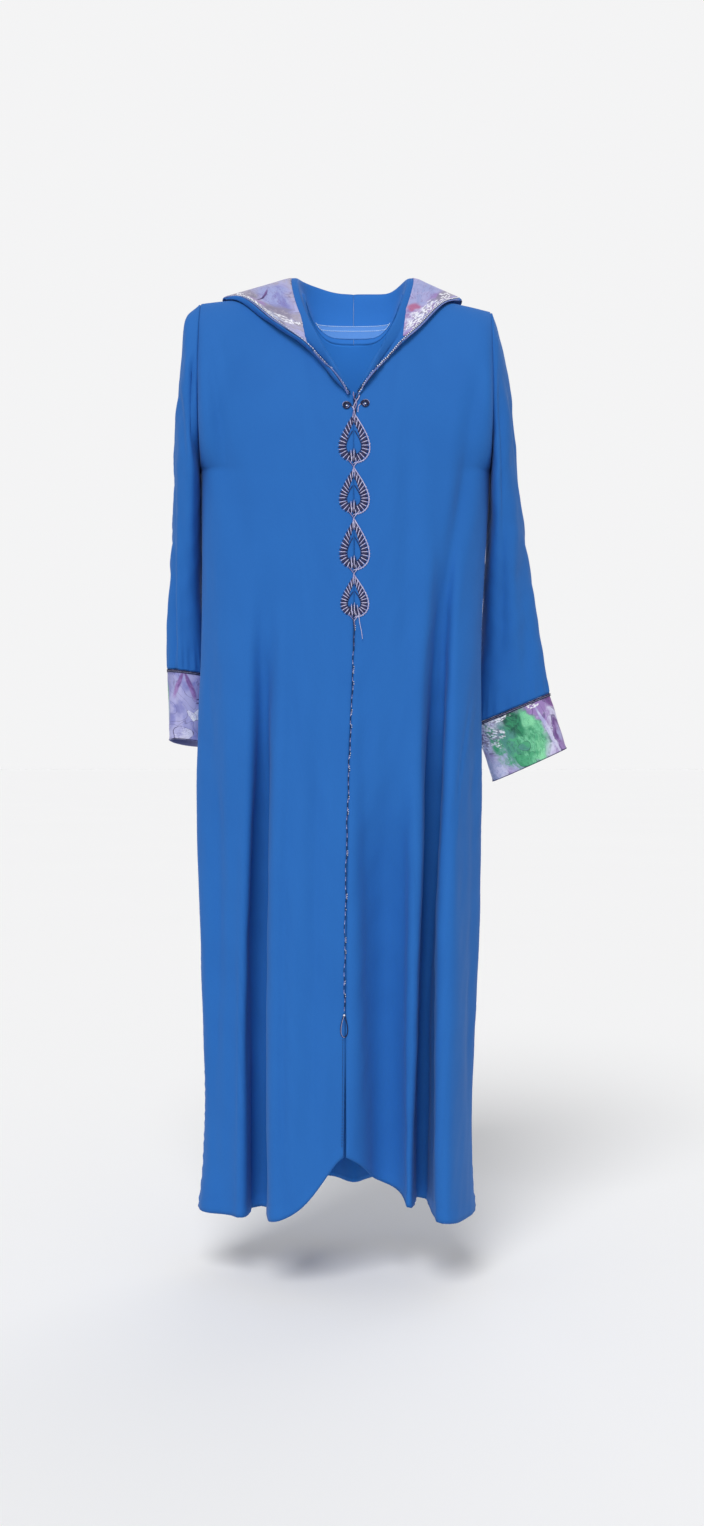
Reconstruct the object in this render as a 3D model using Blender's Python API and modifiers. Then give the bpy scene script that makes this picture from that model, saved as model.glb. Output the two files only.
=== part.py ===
"""Djellaba robe: hollow cloth panels, filled out as if worn, with the hood down the back.

Metres, +Z up. The front faces -Y. "right" and "left" are the wearer's, so right is -X.
The origin is on the shoulder line, at the middle of the body, where a wearer holds it up.
"""

from collections import namedtuple
from math import cos, pi, sin

import bpy
import numpy as np
from mathutils import Vector
from mathutils.bvhtree import BVHTree

NAME = "djellaba_robe"

# Cloth and gaps
WALL = 0.0016
SEAM_GAP = 0.0003
PRINT_WALL = 0.0010
BRAID_WALL = 0.0010

# Signs of the wearer's sides and of the front and back
RIGHT = -1
LEFT = 1
FRONT = -1
BACK = 1
SIDE_NAMES = {RIGHT: "right", LEFT: "left"}

# Horizontal sections of the body below the armholes: seam is the x of the centre seam
Section = namedtuple("Section", "z seam right left front back")
SECTIONS = (
    Section(-0.255, 0.0115, -0.2150, 0.2140, 0.105, 0.106),
    Section(-0.520, 0.0115, -0.2145, 0.2015, 0.112, 0.110),
    Section(-0.750, 0.003, -0.2200, 0.1990, 0.116, 0.114),
    Section(-0.930, -0.001, -0.2165, 0.1965, 0.119, 0.118),
    Section(-1.170, -0.003, -0.2090, 0.1880, 0.124, 0.123),
    Section(-1.290, -0.004, -0.2115, 0.1875, 0.127, 0.126),
    Section(-1.360, -0.004, -0.2195, 0.1925, 0.130, 0.128),
)
FRONT_BOXINESS = 2.5
BACK_BOXINESS = 2.2

# Largest folds: push is how far the cloth goes in at the hem, and out where it is negative
Fold = namedtuple("Fold", "name top_x hem_x start push width")
FRONT_FOLDS = (
    Fold("right valley", -0.108, -0.129, -0.34, 0.060, 0.016),
    Fold("right side flat", -0.165, -0.176, -0.60, 0.045, 0.045),
    Fold("left valley", 0.150, 0.1125, -0.28, 0.092, 0.0135),
    Fold("left tube", 0.175, 0.155, -0.40, -0.030, 0.028),
    Fold("centre left flat", 0.045, 0.050, -0.75, 0.028, 0.045),
    Fold("centre trough", -0.012, -0.010, -0.45, 0.005, 0.022),
    Fold("left chest trough", 0.060, 0.066, -0.30, 0.010, 0.024),
)
BACK_FOLDS = (
    Fold("right valley", -0.120, -0.135, -0.45, 0.050, 0.020),
    Fold("right ridge", -0.080, -0.090, -0.50, -0.014, 0.030),
    Fold("centre valley", 0.020, 0.012, -0.55, 0.044, 0.024),
    Fold("left ridge", 0.060, 0.068, -0.60, -0.012, 0.028),
    Fold("left valley", 0.118, 0.122, -0.40, 0.052, 0.019),
)

# Hem: height at the sides and back, and how the front corners round up to the slit
FRONT_HEM = -1.358
BACK_HEM = -1.345
CORNER_RISE = 0.100
CORNER_WIDTH = {RIGHT: 0.052, LEFT: 0.075}
SLIT_TOP = -1.090
SLIT_GAP = 0.0012

# Shoulders, armholes and neckline
SHOULDER_TIP_X = {RIGHT: -0.2155, LEFT: 0.2145}
SHOULDER_TIP_Z = {RIGHT: -0.009, LEFT: -0.021}
SHOULDER_NECK_Z = 0.008
NECK_SIDE_X = {RIGHT: -0.062, LEFT: 0.086}
UNDERARM_Z = -0.255
CHEST_Z = -0.290
ARMHOLE_DEEP = 0.066
NECK_POINT_Z = -0.170
NECK_BACK_Z = -0.052
NECK_KNEE_Z = -0.045
NECK_BACK_TURN = 4.0
NECK_SLANT_TURN = 0.96
YOKE_FALL = {FRONT: 1.25, BACK: 1.0}
NECK_SHARE = 0.27
ARMHOLE_SHARE = 0.26
PULL_START = 0.40

# Sleeves: rings through an outer and an inner point, at a centre depth y
SleeveRing = namedtuple("SleeveRing", "out_x out_z in_x in_z y deep")
SLEEVES = {
    RIGHT: (
        SleeveRing(-0.2180, -0.0100, -0.2205, -0.262, 0.000, 0.068),
        SleeveRing(-0.2370, -0.030, -0.2235, -0.276, 0.003, 0.072),
        SleeveRing(-0.2435, -0.085, -0.2250, -0.298, 0.010, 0.075),
        SleeveRing(-0.2500, -0.145, -0.2255, -0.328, 0.018, 0.075),
        SleeveRing(-0.2555, -0.215, -0.2250, -0.364, 0.027, 0.073),
        SleeveRing(-0.2590, -0.290, -0.2235, -0.403, 0.036, 0.069),
        SleeveRing(-0.2635, -0.375, -0.2200, -0.445, 0.045, 0.064),
        SleeveRing(-0.2675, -0.450, -0.2165, -0.490, 0.052, 0.059),
        SleeveRing(-0.2700, -0.510, -0.2130, -0.530, 0.057, 0.055),
        SleeveRing(-0.2715, -0.552, -0.2110, -0.560, 0.060, 0.052),
    ),
    LEFT: (
        SleeveRing(0.2168, -0.0220, 0.2195, -0.262, 0.000, 0.068),
        SleeveRing(0.2245, -0.045, 0.2220, -0.276, 0.003, 0.072),
        SleeveRing(0.2345, -0.085, 0.2235, -0.298, 0.010, 0.076),
        SleeveRing(0.2440, -0.140, 0.2240, -0.330, 0.017, 0.077),
        SleeveRing(0.2530, -0.215, 0.2235, -0.367, 0.026, 0.075),
        SleeveRing(0.2630, -0.296, 0.2200, -0.408, 0.036, 0.069),
        SleeveRing(0.2755, -0.378, 0.2145, -0.454, 0.045, 0.060),
        SleeveRing(0.2880, -0.460, 0.2080, -0.513, 0.051, 0.049),
        SleeveRing(0.3005, -0.532, 0.2020, -0.574, 0.055, 0.038),
        SleeveRing(0.3105, -0.588, 0.1985, -0.635, 0.057, 0.031),
    ),
}

# Cuffs: the drop from the sleeve's end to the cuff's edge, and how deep it opens
Cuff = namedtuple("Cuff", "out_drop in_drop deep")
CUFFS = {
    RIGHT: Cuff((0.0030, -0.105), (-0.0030, -0.103), 0.053),
    LEFT: Cuff((0.0260, -0.085), (0.0280, -0.088), 0.033),
}
CUFF_BRAID_HEIGHT = 0.004
CUFF_BRAID_PLACE = 0.12
CUFF_BRAID_GAP = 0.00075

# Hood, worn down: face edge from the shoulder to the neck point, and the pouch behind
HoodRow = namedtuple("HoodRow", "flat deep")
HOOD_INNER_ROWS = (HoodRow(0.22, 0.22), HoodRow(0.45, 0.80))
HOOD_MIDDLE_ROW = 0.62
HOOD_OUTER_ROWS = (HoodRow(0.76, 0.20), HoodRow(0.88, 0.60))
HOOD_STAND_ROW = 0.55
HOOD_BOTTOM_ROW = 0.55
HOOD_BOTTOM_X = 0.35
POUCH_FADE = 1.5
POUCH_FOLD = 1.6
POUCH_INNER_Y = -0.010
POUCH_BOTTOM_Y = -0.012
POUCH_OUTER_Y = 0.016
HOOD_TIP = {RIGHT: (-0.188, -0.006, 0.005), LEFT: (0.176, -0.006, 0.003)}
HOOD_EDGE_BULGE = {RIGHT: 0.021, LEFT: 0.011}
HOOD_EDGE_EASE = 1.45
HOOD_SIDE_SHARE = 0.50
HOOD_CREST_BACK_Z = 0.022
HOOD_CREST_SIDE_Z = 0.038
HOOD_STAND_POINT = 0.005
HOOD_STAND_TURN = 0.7
HOOD_LEAN_TURN = 1.2
HOOD_ROLL = 0.012
HOOD_ROLL_SHARE = 0.25
HOOD_RIM_TURN = 0.8
HOOD_BULGE_TURN = 1.6
HOOD_RIM_BACK_Y = 0.165
HOOD_RIM_BACK_Z = -0.060
HOOD_DROP = 0.315
HOOD_LIFT = 0.003
HOOD_CLEAR = 0.0055
HOOD_CLEAR_BACK = 0.0080
SEAM_STEP = 0.0028
SEAM_CORNER_WIDTH = 0.07
HOOD_SEAM_GAP = 0.0006
HOOD_LAST_SHARE = 0.93
HOOD_RIM_PLACE = 9.0
HOOD_POINT_CLEAR = 0.0036
HOOD_POINT_SPREAD = 0.0045
HOOD_FREE_ROWS = 1.4
HOOD_BEHIND_TURN = 0.20
HOOD_BEHIND_SHARE = HOOD_SIDE_SHARE * 1.05
HOOD_OVER_PLACE = 3.0
CREST_LEAN = 0.5
CREST_BACK = 0.2
BRAID_MOST = 0.7
GAP_MOST = 0.08
HOOD_AHEAD_TURN = 0.18
HOOD_POINT_TURN = 0.20
HOOD_AWAY_UP = Vector((0.0, 0.0, 1.0))
HOOD_AWAY_FRONT = Vector((0.0, -1.0, 0.10))
HOOD_AWAY_SHOULDER = Vector((0.0, -0.25, 1.0))
HOOD_AWAY_BACK = Vector((0.0, 1.0, 0.25))
CAST_REACH = 0.30
CAST_DEPTH = 0.06
CLEAR_PASSES = 4
CLEAR_SAMPLES = 3

# Facing of the face edge: its depth behind the neck, and where it runs out in front
FACING_BACK_PLACE = 7.6
FACING_SIDE_PLACE = 3.5
FACING_TURN = 4.0
FACING_END = {RIGHT: 0.83, LEFT: 0.77}
LAID_GAP = 0.0008
FACING_LEAST = 0.3
EDGE_BRAID = 0.007
EDGE_GAP = 0.0012

# Neck tape, above the neck seam inside
TAPE_REACH = 0.36
TAPE_ROWS = (1, 2)

# Embroidery down the centre front: top is the tip of each leaf
Leaf = namedtuple("Leaf", "name top height width band")
LEAVES = (
    Leaf("leaf_1", -0.1900, 0.0740, 0.046, 0.0120),
    Leaf("leaf_2", -0.2700, 0.0680, 0.044, 0.0120),
    Leaf("leaf_3", -0.3440, 0.0740, 0.044, 0.0120),
    Leaf("leaf_4", -0.4250, 0.0610, 0.041, 0.0110),
)
LEAF_POINT = 1.3
LEAF_TOP_BANDS = 2.2
LEAF_ALL_BANDS = 3.2
STITCH_LIFT = 0.0006
CURL_RADIUS = 0.0062
CURL_BAND = 0.0032
CURL_PLACE = {RIGHT: (-0.0100, -0.1800), LEFT: (0.0165, -0.1770)}
BRAID_TOP = -0.4900
BRAID_FOOT = -1.0500
BRAID_HALF = 0.0014
BRAID_ROWS = 20
KNOT = Leaf("slit_knot", -1.0530, 0.0330, 0.010, 0.0030)

# Loose thread ends of the last leaf: (x, z) down their routes, from the leaf's foot to the free end
TAIL_DIAMETER = 0.0010
TAIL_LIFT = 0.0026
TAIL_STEPS = 18
TAILS = {
    "tail_navy": (
        (0.0112, -0.4760), (0.0108, -0.4900), (0.0122, -0.5040), (0.0110, -0.5190), (0.0120, -0.5325),
    ),
    "tail_light": (
        (0.0165, -0.4690), (0.0186, -0.4810), (0.0198, -0.4930), (0.0224, -0.5060), (0.0240, -0.5175),
    ),
}

# Mesh fineness
SECTION_STEPS = 240
NECK_COLUMNS = {
    FRONT: (0.0, 0.22, 0.42, 0.62, 0.79, 0.91, 0.97, 1.0),
    BACK: (0.0, 0.05, 0.30, 0.55, 0.78, 0.93, 1.0),
}
SIDE_COLUMNS = {FRONT: 9, BACK: 7}
ARMHOLE_ROWS = 7
SKIRT_ROWS = 11
YOKE_STEP = 0.03
SEAM_SAMPLE = 0.01
SLEEVE_COLUMNS = 18
STAND_PLACES = (0.0, 0.22, 0.62, 1.2, 2.0, 2.5, 3.0)
FALL_ROWS = 7
FACING_ROWS = 3
LEAF_STEPS = 20
CURL_STEPS = 12
KNOT_STEPS = 12

# Colours and finish of each cloth
Finish = namedtuple("Finish", "name colour roughness metallic")
BLUE = Finish("blue_crepe", (0.036, 0.162, 0.527, 1.0), 0.75, 0.0)
PRINT = Finish("printed_brocade", (0.420, 0.400, 0.620, 1.0), 0.55, 0.0)
NAVY = Finish("navy_braid", (0.020, 0.030, 0.110, 1.0), 0.60, 0.0)
SILVER = Finish("silver_thread", (0.500, 0.450, 0.520, 1.0), 0.35, 0.6)
TAPE = Finish("neck_tape", (0.180, 0.340, 0.620, 1.0), 0.70, 0.0)


def clear_scene():
    """Remove every object, so that the script can run in any file."""
    for obj in list(bpy.data.objects):
        bpy.data.objects.remove(obj, do_unlink=True)


def smooth(t):
    """Smooth step from 0 to 1 as t goes from 0 to 1."""
    t = min(max(t, 0.0), 1.0)
    return t * t * (3.0 - 2.0 * t)


def mix(a, b, t):
    """Linear blend of two numbers or vectors."""
    return a + (b - a) * t


def catmull(points, place):
    """Catmull-Rom curve through the points, at a place counted in spans."""
    last = len(points) - 1
    span = min(max(int(place), 0), last - 1)
    t = place - span
    p1 = points[span]
    p2 = points[span + 1]
    p0 = points[span - 1] if span > 0 else p1 * 2.0 - p2
    p3 = points[span + 2] if span + 2 <= last else p2 * 2.0 - p1
    square = t * t
    cube = square * t
    return (
        p1 * (1.0 - 2.5 * square + 1.5 * cube)
        + p0 * (-0.5 * t + square - 0.5 * cube)
        + p2 * (0.5 * t + 2.0 * square - 1.5 * cube)
        + p3 * (-0.5 * square + 0.5 * cube)
    )


def section_size(z):
    """The section's sizes at height z, read smoothly from the table."""
    heights = [row.z for row in SECTIONS]
    place = float(np.interp(-z, [-h for h in heights], range(len(heights))))
    sizes = [np.array(row[1:]) for row in SECTIONS]
    return Section(z, *catmull(sizes, place))


def fold_push(face, x, z):
    """How far the folds push the cloth inwards at points x of one section."""
    total = np.zeros_like(x)
    for fold in FRONT_FOLDS if face == FRONT else BACK_FOLDS:
        down = (fold.start - z) / (fold.start - FRONT_HEM)
        if down > 0.0:
            centre = fold.hem_x + (fold.top_x - fold.hem_x) * (1.0 - min(down, 1.0)) ** 2
            depth = fold.push * smooth(down * 4.0) * min(down, 1.0) ** 0.8
            total += depth * np.exp(-(((x - centre) / fold.width) ** 2))
    return total


def section_line(side, face, z):
    """One quarter of the body's section at height z, from the centre seam to the side seam."""
    size = section_size(z)
    edge = size.right if side == RIGHT else size.left
    depth = size.front if face == FRONT else size.back
    power = 2.0 / (FRONT_BOXINESS if face == FRONT else BACK_BOXINESS)
    turn = np.linspace(0.0, pi / 2.0, SECTION_STEPS)
    x = size.seam + (edge - size.seam) * np.sin(turn) ** power
    hold = np.clip(np.cos(turn), 0.0, 1.0)
    y = face * (depth * hold**power - fold_push(face, x, z) * hold**0.35)
    return x, y


LINES = {}


def ring_point(side, face, share, z):
    """Point of the body at height z, at a share of the section's length from the centre."""
    key = (side, face, round(z, 6))
    if key not in LINES:
        x, y = section_line(side, face, z)
        run = np.concatenate(([0.0], np.cumsum(np.hypot(np.diff(x), np.diff(y)))))
        LINES[key] = (x, y, run / run[-1])
    x, y, run = LINES[key]
    return Vector((float(np.interp(share, run, x)), float(np.interp(share, run, y)), z))


def shoulder_point(side, share):
    """Point of the shoulder line, from the body's middle out to the shoulder tip."""
    seam = SECTIONS[0].seam
    if share < NECK_SHARE:
        return Vector((mix(seam, NECK_SIDE_X[side], share / NECK_SHARE), 0.0, SHOULDER_NECK_Z))
    out = (share - NECK_SHARE) / (1.0 - NECK_SHARE)
    return Vector((
        mix(NECK_SIDE_X[side], SHOULDER_TIP_X[side], out),
        0.0,
        mix(SHOULDER_NECK_Z, SHOULDER_TIP_Z[side], out),
    ))


def chest_height(share):
    """Height of the line from the chest's middle to the underarm."""
    return mix(CHEST_Z, UNDERARM_Z, share)


def neck_start(face, share):
    """Where the neckline cuts the shoulder curve: 0 at the shoulder, 1 at the chest."""
    if share >= NECK_SHARE:
        return 0.0
    out = share / NECK_SHARE
    if face == FRONT:
        slant = mix(NECK_POINT_Z, NECK_KNEE_Z, out**NECK_SLANT_TURN)
        height = slant + (SHOULDER_NECK_Z - NECK_KNEE_Z) * out**8
    else:
        height = mix(NECK_BACK_Z, SHOULDER_NECK_Z, out**NECK_BACK_TURN)
    drop = (SHOULDER_NECK_Z - height) / (SHOULDER_NECK_Z - chest_height(share))
    return float(np.arccos(1.0 - drop)) * 2.0 / pi


def upper_point(side, face, share, down):
    """Point of the yoke: the shoulder curve, pulled out to the armhole near its edge."""
    low = ring_point(side, face, share, chest_height(share))
    ridge = shoulder_point(side, share)
    turn = down * pi / 2.0
    x = mix(ridge.x, low.x, sin(turn) ** 0.8)
    y = low.y * sin(turn) ** YOKE_FALL[face]
    z = mix(ridge.z, low.z, 1.0 - cos(turn))
    edge_z = mix(SHOULDER_TIP_Z[side], UNDERARM_Z, 1.0 - cos(turn))
    arm_z = mix(SHOULDER_TIP_Z[side], UNDERARM_Z, (1.0 - cos(pi * down)) / 2.0)
    pull = smooth((share - PULL_START) / (1.0 - PULL_START))
    y += pull * face * ARMHOLE_DEEP * sin(pi * down)
    z += pull * (arm_z - edge_z)
    return Vector((x, y, z))


def hem_height(side, face, share):
    """Height of the hem: level behind, rounded up to the slit in front."""
    if face == BACK:
        return mix(BACK_HEM, FRONT_HEM, share**2)
    away = abs(ring_point(side, face, share, FRONT_HEM).x - section_size(FRONT_HEM).seam)
    return FRONT_HEM + CORNER_RISE * float(np.exp(-((away / CORNER_WIDTH[side]) ** 1.5)))


def body_point(side, face, share, down):
    """Point of a body panel: share from centre to side, down from the top edge to the hem."""
    if down < ARMHOLE_SHARE:
        start = neck_start(face, share)
        return upper_point(side, face, share, mix(start, 1.0, down / ARMHOLE_SHARE))
    fall = (down - ARMHOLE_SHARE) / (1.0 - ARMHOLE_SHARE)
    return ring_point(side, face, share, mix(chest_height(share), hem_height(side, face, share), fall))


def sleeve_point(rings, around, place):
    """Point of a sleeve: around is 0 at the outer edge and grows to the front."""
    rows = [np.array(ring) for ring in rings]
    ring = SleeveRing(*catmull(rows, place))
    turn = 2.0 * pi * around
    reach = (1.0 + cos(turn)) / 2.0
    return Vector((
        mix(ring.in_x, ring.out_x, reach),
        ring.y - ring.deep * sin(turn),
        mix(ring.in_z, ring.out_z, reach),
    ))


def neck_seam(side, share):
    """Neck seam from the centre back, over the shoulder, to the point of the V.

    It follows the straight edges between the columns of the panels' neckline.
    """
    if share < HOOD_SIDE_SHARE:
        face = BACK
        out = share / HOOD_SIDE_SHARE
    else:
        face = FRONT
        out = (1.0 - share) / (1.0 - HOOD_SIDE_SHARE)
    columns = NECK_COLUMNS[face]
    place = float(np.interp(out, columns, range(len(columns))))
    first = min(int(place), len(columns) - 2)
    ends = [body_point(side, face, NECK_SHARE * columns[i], 0.0) for i in (first, first + 1)]
    return mix(ends[0], ends[1], place - first)


def seam_step(side, share):
    """Step off the panels' neckline, across the seam and along the cloth."""
    here = neck_seam(side, share)
    ahead = neck_seam(side, min(share + SEAM_SAMPLE, 1.0))
    run = (ahead - neck_seam(side, max(share - SEAM_SAMPLE, 0.0))).normalized()
    if share < HOOD_SIDE_SHARE:
        inside = body_point(side, BACK, NECK_SHARE * share / HOOD_SIDE_SHARE, YOKE_STEP)
    else:
        inside = body_point(side, FRONT, NECK_SHARE * (1.0 - share) / (1.0 - HOOD_SIDE_SHARE), YOKE_STEP)
    step = here - inside
    step -= run * step.dot(run)
    corner = np.exp(-(((share - HOOD_SIDE_SHARE) / SEAM_CORNER_WIDTH) ** 2))
    return step.normalized() * SEAM_STEP * (1.0 + float(corner))


def hood_rim(side, share, seam):
    """Point of the face edge: behind the pouch, or along the lapel to the point of the V."""
    tip = Vector(HOOD_TIP[side])
    if share < HOOD_SIDE_SHARE:
        turn = share / HOOD_SIDE_SHARE * pi / 2.0
        return Vector((
            mix(seam.x, tip.x, sin(turn) ** HOOD_RIM_TURN),
            mix(tip.y, HOOD_RIM_BACK_Y, cos(turn)),
            mix(tip.z, HOOD_RIM_BACK_Z, cos(turn) ** 2),
        ))
    rest = (share - HOOD_SIDE_SHARE) / (1.0 - HOOD_SIDE_SHARE)
    reach = 1.0 - (1.0 - rest) ** HOOD_EDGE_EASE
    rim = mix(tip, neck_seam(side, 1.0) + Vector((side * HOOD_POINT_SPREAD, 0.0, 0.0)), reach)
    return rim + HOOD_AWAY_UP * HOOD_EDGE_BULGE[side] * sin(pi * reach**HOOD_BULGE_TURN)


def hood_stand(share, seam):
    """How the hood stands up from the neck seam, as a vector to its crest."""
    if share < HOOD_SIDE_SHARE:
        turn = share / HOOD_SIDE_SHARE * pi / 2.0
        return HOOD_AWAY_UP * (mix(HOOD_CREST_BACK_Z, HOOD_CREST_SIDE_Z, sin(turn) ** 2) - seam.z)
    rest = (share - HOOD_SIDE_SHARE) / (1.0 - HOOD_SIDE_SHARE)
    stand = mix(HOOD_CREST_SIDE_Z - SHOULDER_NECK_Z, HOOD_STAND_POINT, rest**HOOD_STAND_TURN)
    return mix(HOOD_AWAY_UP, HOOD_AWAY_FRONT, smooth(rest * HOOD_LEAN_TURN)).normalized() * stand


def hood_frame(side, share):
    """The points that the hood's cloth passes through, from the neck seam to the face edge."""
    seam = neck_seam(side, share)
    rim = hood_rim(side, share, seam)
    pouch = 0.0
    if share < HOOD_SIDE_SHARE:
        pouch = cos(share / HOOD_SIDE_SHARE * pi / 2.0) ** POUCH_FADE
    fold = smooth(pouch * POUCH_FOLD)
    roll = Vector((rim.x - seam.x, rim.y - seam.y, 0.0))
    roll = roll.normalized() * min(HOOD_ROLL, roll.length * HOOD_ROLL_SHARE)
    crest = seam + hood_stand(share, seam) + roll * CREST_LEAN
    over = crest + roll
    bottom = mix(over, rim, HOOD_BOTTOM_ROW) + Vector((0.0, POUCH_BOTTOM_Y, -HOOD_DROP)) * pouch
    bottom.x = mix(bottom.x, mix(seam.x, rim.x, HOOD_BOTTOM_X), pouch)
    foot = seam + seam_step(side, share)
    points = [foot, mix(foot, crest, HOOD_STAND_ROW), crest - roll * CREST_BACK, over]
    for row in HOOD_INNER_ROWS:
        deep = mix(over, bottom, row.deep) + Vector((0.0, POUCH_INNER_Y * pouch, 0.0))
        points.append(mix(mix(over, rim, row.flat), deep, fold))
    points.append(mix(mix(over, rim, HOOD_MIDDLE_ROW), bottom, fold))
    for row in HOOD_OUTER_ROWS:
        deep = mix(bottom, rim, row.deep) + Vector((0.0, POUCH_OUTER_Y * pouch, 0.0))
        points.append(mix(mix(over, rim, row.flat), deep, fold))
    return [*points, rim]


def bvh_of(name):
    """Search tree of a finished object's faces."""
    depsgraph = bpy.context.evaluated_depsgraph_get()
    obj = bpy.data.objects[name].evaluated_get(depsgraph)
    mesh = obj.to_mesh()
    points = [vertex.co.copy() for vertex in mesh.vertices]
    return BVHTree.FromPolygons(points, [polygon.vertices[:] for polygon in mesh.polygons])


def shortfall(point, trees, gap, away):
    """How far a point has to move outwards to stand clear of the body by the gap."""
    short = 0.0
    for tree in trees:
        place, normal, _, _ = tree.ray_cast(point + away * CAST_REACH, -away, 2.0 * CAST_REACH)
        if place is not None:
            needed = gap / max(abs(normal.dot(away)), 0.4)
            height = (point - place).dot(away)
            if -CAST_DEPTH < height < needed:
                short = max(short, needed - height)
    return short


def hood_behind(share):
    """1 behind the neck, fading to 0 at the shoulder."""
    return smooth((HOOD_BEHIND_SHARE - share) / HOOD_BEHIND_TURN)


def hood_away(share):
    """Direction out of the body under one column of the hood."""
    behind = hood_behind(share)
    ahead = smooth((share - HOOD_SIDE_SHARE) / HOOD_AHEAD_TURN)
    return mix(mix(HOOD_AWAY_SHOULDER, HOOD_AWAY_FRONT, ahead), HOOD_AWAY_BACK, behind).normalized()


def hood_gap(share, place):
    """Gap that the hood keeps to the body, at a place of one column."""
    lift = HOOD_LIFT * smooth((place - HOOD_OVER_PLACE) / (HOOD_RIM_PLACE - 1.0 - HOOD_OVER_PLACE))
    gap = mix(HOOD_CLEAR, HOOD_CLEAR_BACK, hood_behind(share)) + lift
    return mix(gap, HOOD_POINT_CLEAR, smooth((share - 1.0) / HOOD_POINT_TURN + 1.0))


def hood_point(side, share, place, trees):
    """Point of the hood, laid clear of the shoulders, chest and back."""
    point = catmull(hood_frame(side, share), place)
    if place < HOOD_FREE_ROWS:
        return point
    away = hood_away(share)
    return point + away * shortfall(point, trees, hood_gap(share, place), away)


def clear_faces(columns, shares, places, trees):
    """Push out the corners of each face of the hood that comes too near to the body."""
    first = sum(place < HOOD_FREE_ROWS for place in places[0])
    for _ in range(CLEAR_PASSES):
        push = [[0.0] * len(column) for column in columns]
        for c in range(len(columns) - 1):
            for r in range(first, len(columns[0]) - 1):
                corners = [(c, r), (c, r + 1), (c + 1, r), (c + 1, r + 1)]
                gap = min(hood_gap(shares[i], places[i][k]) for i, k in corners) - WALL / 2.0
                away = (hood_away(shares[c]) + hood_away(shares[c + 1])).normalized()
                for u in range(CLEAR_SAMPLES + 1):
                    start = mix(columns[c][r], columns[c + 1][r], u / CLEAR_SAMPLES)
                    end = mix(columns[c][r + 1], columns[c + 1][r + 1], u / CLEAR_SAMPLES)
                    for v in range(CLEAR_SAMPLES + 1):
                        short = shortfall(mix(start, end, v / CLEAR_SAMPLES), trees, gap, away)
                        for i, k in corners:
                            push[i][k] = max(push[i][k], short)
        for c, share in enumerate(shares):
            away = hood_away(share)
            columns[c] = [point + away * step for point, step in zip(columns[c], push[c])]
    return columns


def grid_mesh(name, rows, closed=False):
    """Open surface through rows of points, all of the same length."""
    columns = len(rows[0])
    points = [tuple(point) for row in rows for point in row]
    faces = []
    for r in range(len(rows) - 1):
        for c in range(columns if closed else columns - 1):
            after = (c + 1) % columns
            upper, lower = r * columns, (r + 1) * columns
            faces.append((upper + c, lower + c, lower + after, upper + after))
    mesh = bpy.data.meshes.new(name)
    mesh.from_pydata(points, [], faces)
    mesh.update()
    return mesh


def material(finish):
    """The Principled material of a cloth, made once."""
    found = bpy.data.materials.get(finish.name)
    if found:
        return found
    made = bpy.data.materials.new(finish.name)
    made.use_nodes = True
    shader = made.node_tree.nodes["Principled BSDF"]
    shader.inputs["Base Color"].default_value = finish.colour
    shader.inputs["Roughness"].default_value = finish.roughness
    shader.inputs["Metallic"].default_value = finish.metallic
    return made


def add_cloth(name, mesh, finish, wall, flip=False):
    """Cloth wall from an open surface, its thickness laid on the outer side."""
    if flip:
        mesh.flip_normals()
    obj = bpy.data.objects.new(name, mesh)
    bpy.data.collections[NAME].objects.link(obj)
    mesh.materials.append(material(finish))
    mesh.shade_smooth()
    solid = obj.modifiers.new("wall", "SOLIDIFY")
    solid.thickness = wall
    solid.offset = 1.0
    solid.use_even_offset = False
    return obj


def panel_shares(face):
    """Columns of a body panel, from the centre seam to the side."""
    neck = [NECK_SHARE * share for share in NECK_COLUMNS[face]]
    count = SIDE_COLUMNS[face]
    return neck + [mix(NECK_SHARE, 1.0, i / count) for i in range(1, count + 1)]


def body_downs():
    """Rows of a body panel: fine over the armhole, and longer down the skirt."""
    upper = [ARMHOLE_SHARE * i / ARMHOLE_ROWS for i in range(ARMHOLE_ROWS)]
    return upper + [mix(ARMHOLE_SHARE, 1.0, i / SKIRT_ROWS) for i in range(SKIRT_ROWS + 1)]


def seam_moved(point, side, face, share):
    """Move an edge point off its seam: half the gap at the centre, the sides and shoulders."""
    half = SEAM_GAP / 2.0
    if face == FRONT and share == 0.0:
        slit = smooth((SLIT_TOP - point.z) / 0.15)
        point = point + Vector((side * (half + SLIT_GAP * slit), 0.0, 0.0))
    if share == 1.0 or point.y * face < half:
        point = point + Vector((0.0, face * half, 0.0))
    return point


def add_front(side):
    """One front panel, from the centre seam to the armhole and side seam."""
    rows = []
    for down in body_downs():
        row = [
            seam_moved(body_point(side, FRONT, share, down), side, FRONT, share)
            for share in panel_shares(FRONT)
        ]
        rows.append(row)
    add_cloth(f"front_{SIDE_NAMES[side]}", grid_mesh("front", rows), BLUE, WALL, flip=side == RIGHT)


def add_back():
    """The back panel, from side seam to side seam."""
    rows = []
    for down in body_downs():
        row = []
        half = panel_shares(BACK)
        for side, shares in ((RIGHT, half[:0:-1]), (LEFT, half)):
            for share in shares:
                row.append(seam_moved(body_point(side, BACK, share, down), side, BACK, share))
        rows.append(row)
    add_cloth("back", grid_mesh("back", rows), BLUE, WALL, flip=True)


def add_sleeve(side):
    """One sleeve, a tube from the armhole to the cuff seam."""
    rings = SLEEVES[side]
    rows = []
    for place in range(len(rings)):
        rows.append([sleeve_point(rings, i / SLEEVE_COLUMNS, place) for i in range(SLEEVE_COLUMNS)])
    mesh = grid_mesh("sleeve", rows, closed=True)
    add_cloth(f"sleeve_{SIDE_NAMES[side]}", mesh, BLUE, WALL, flip=side == LEFT)


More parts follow.
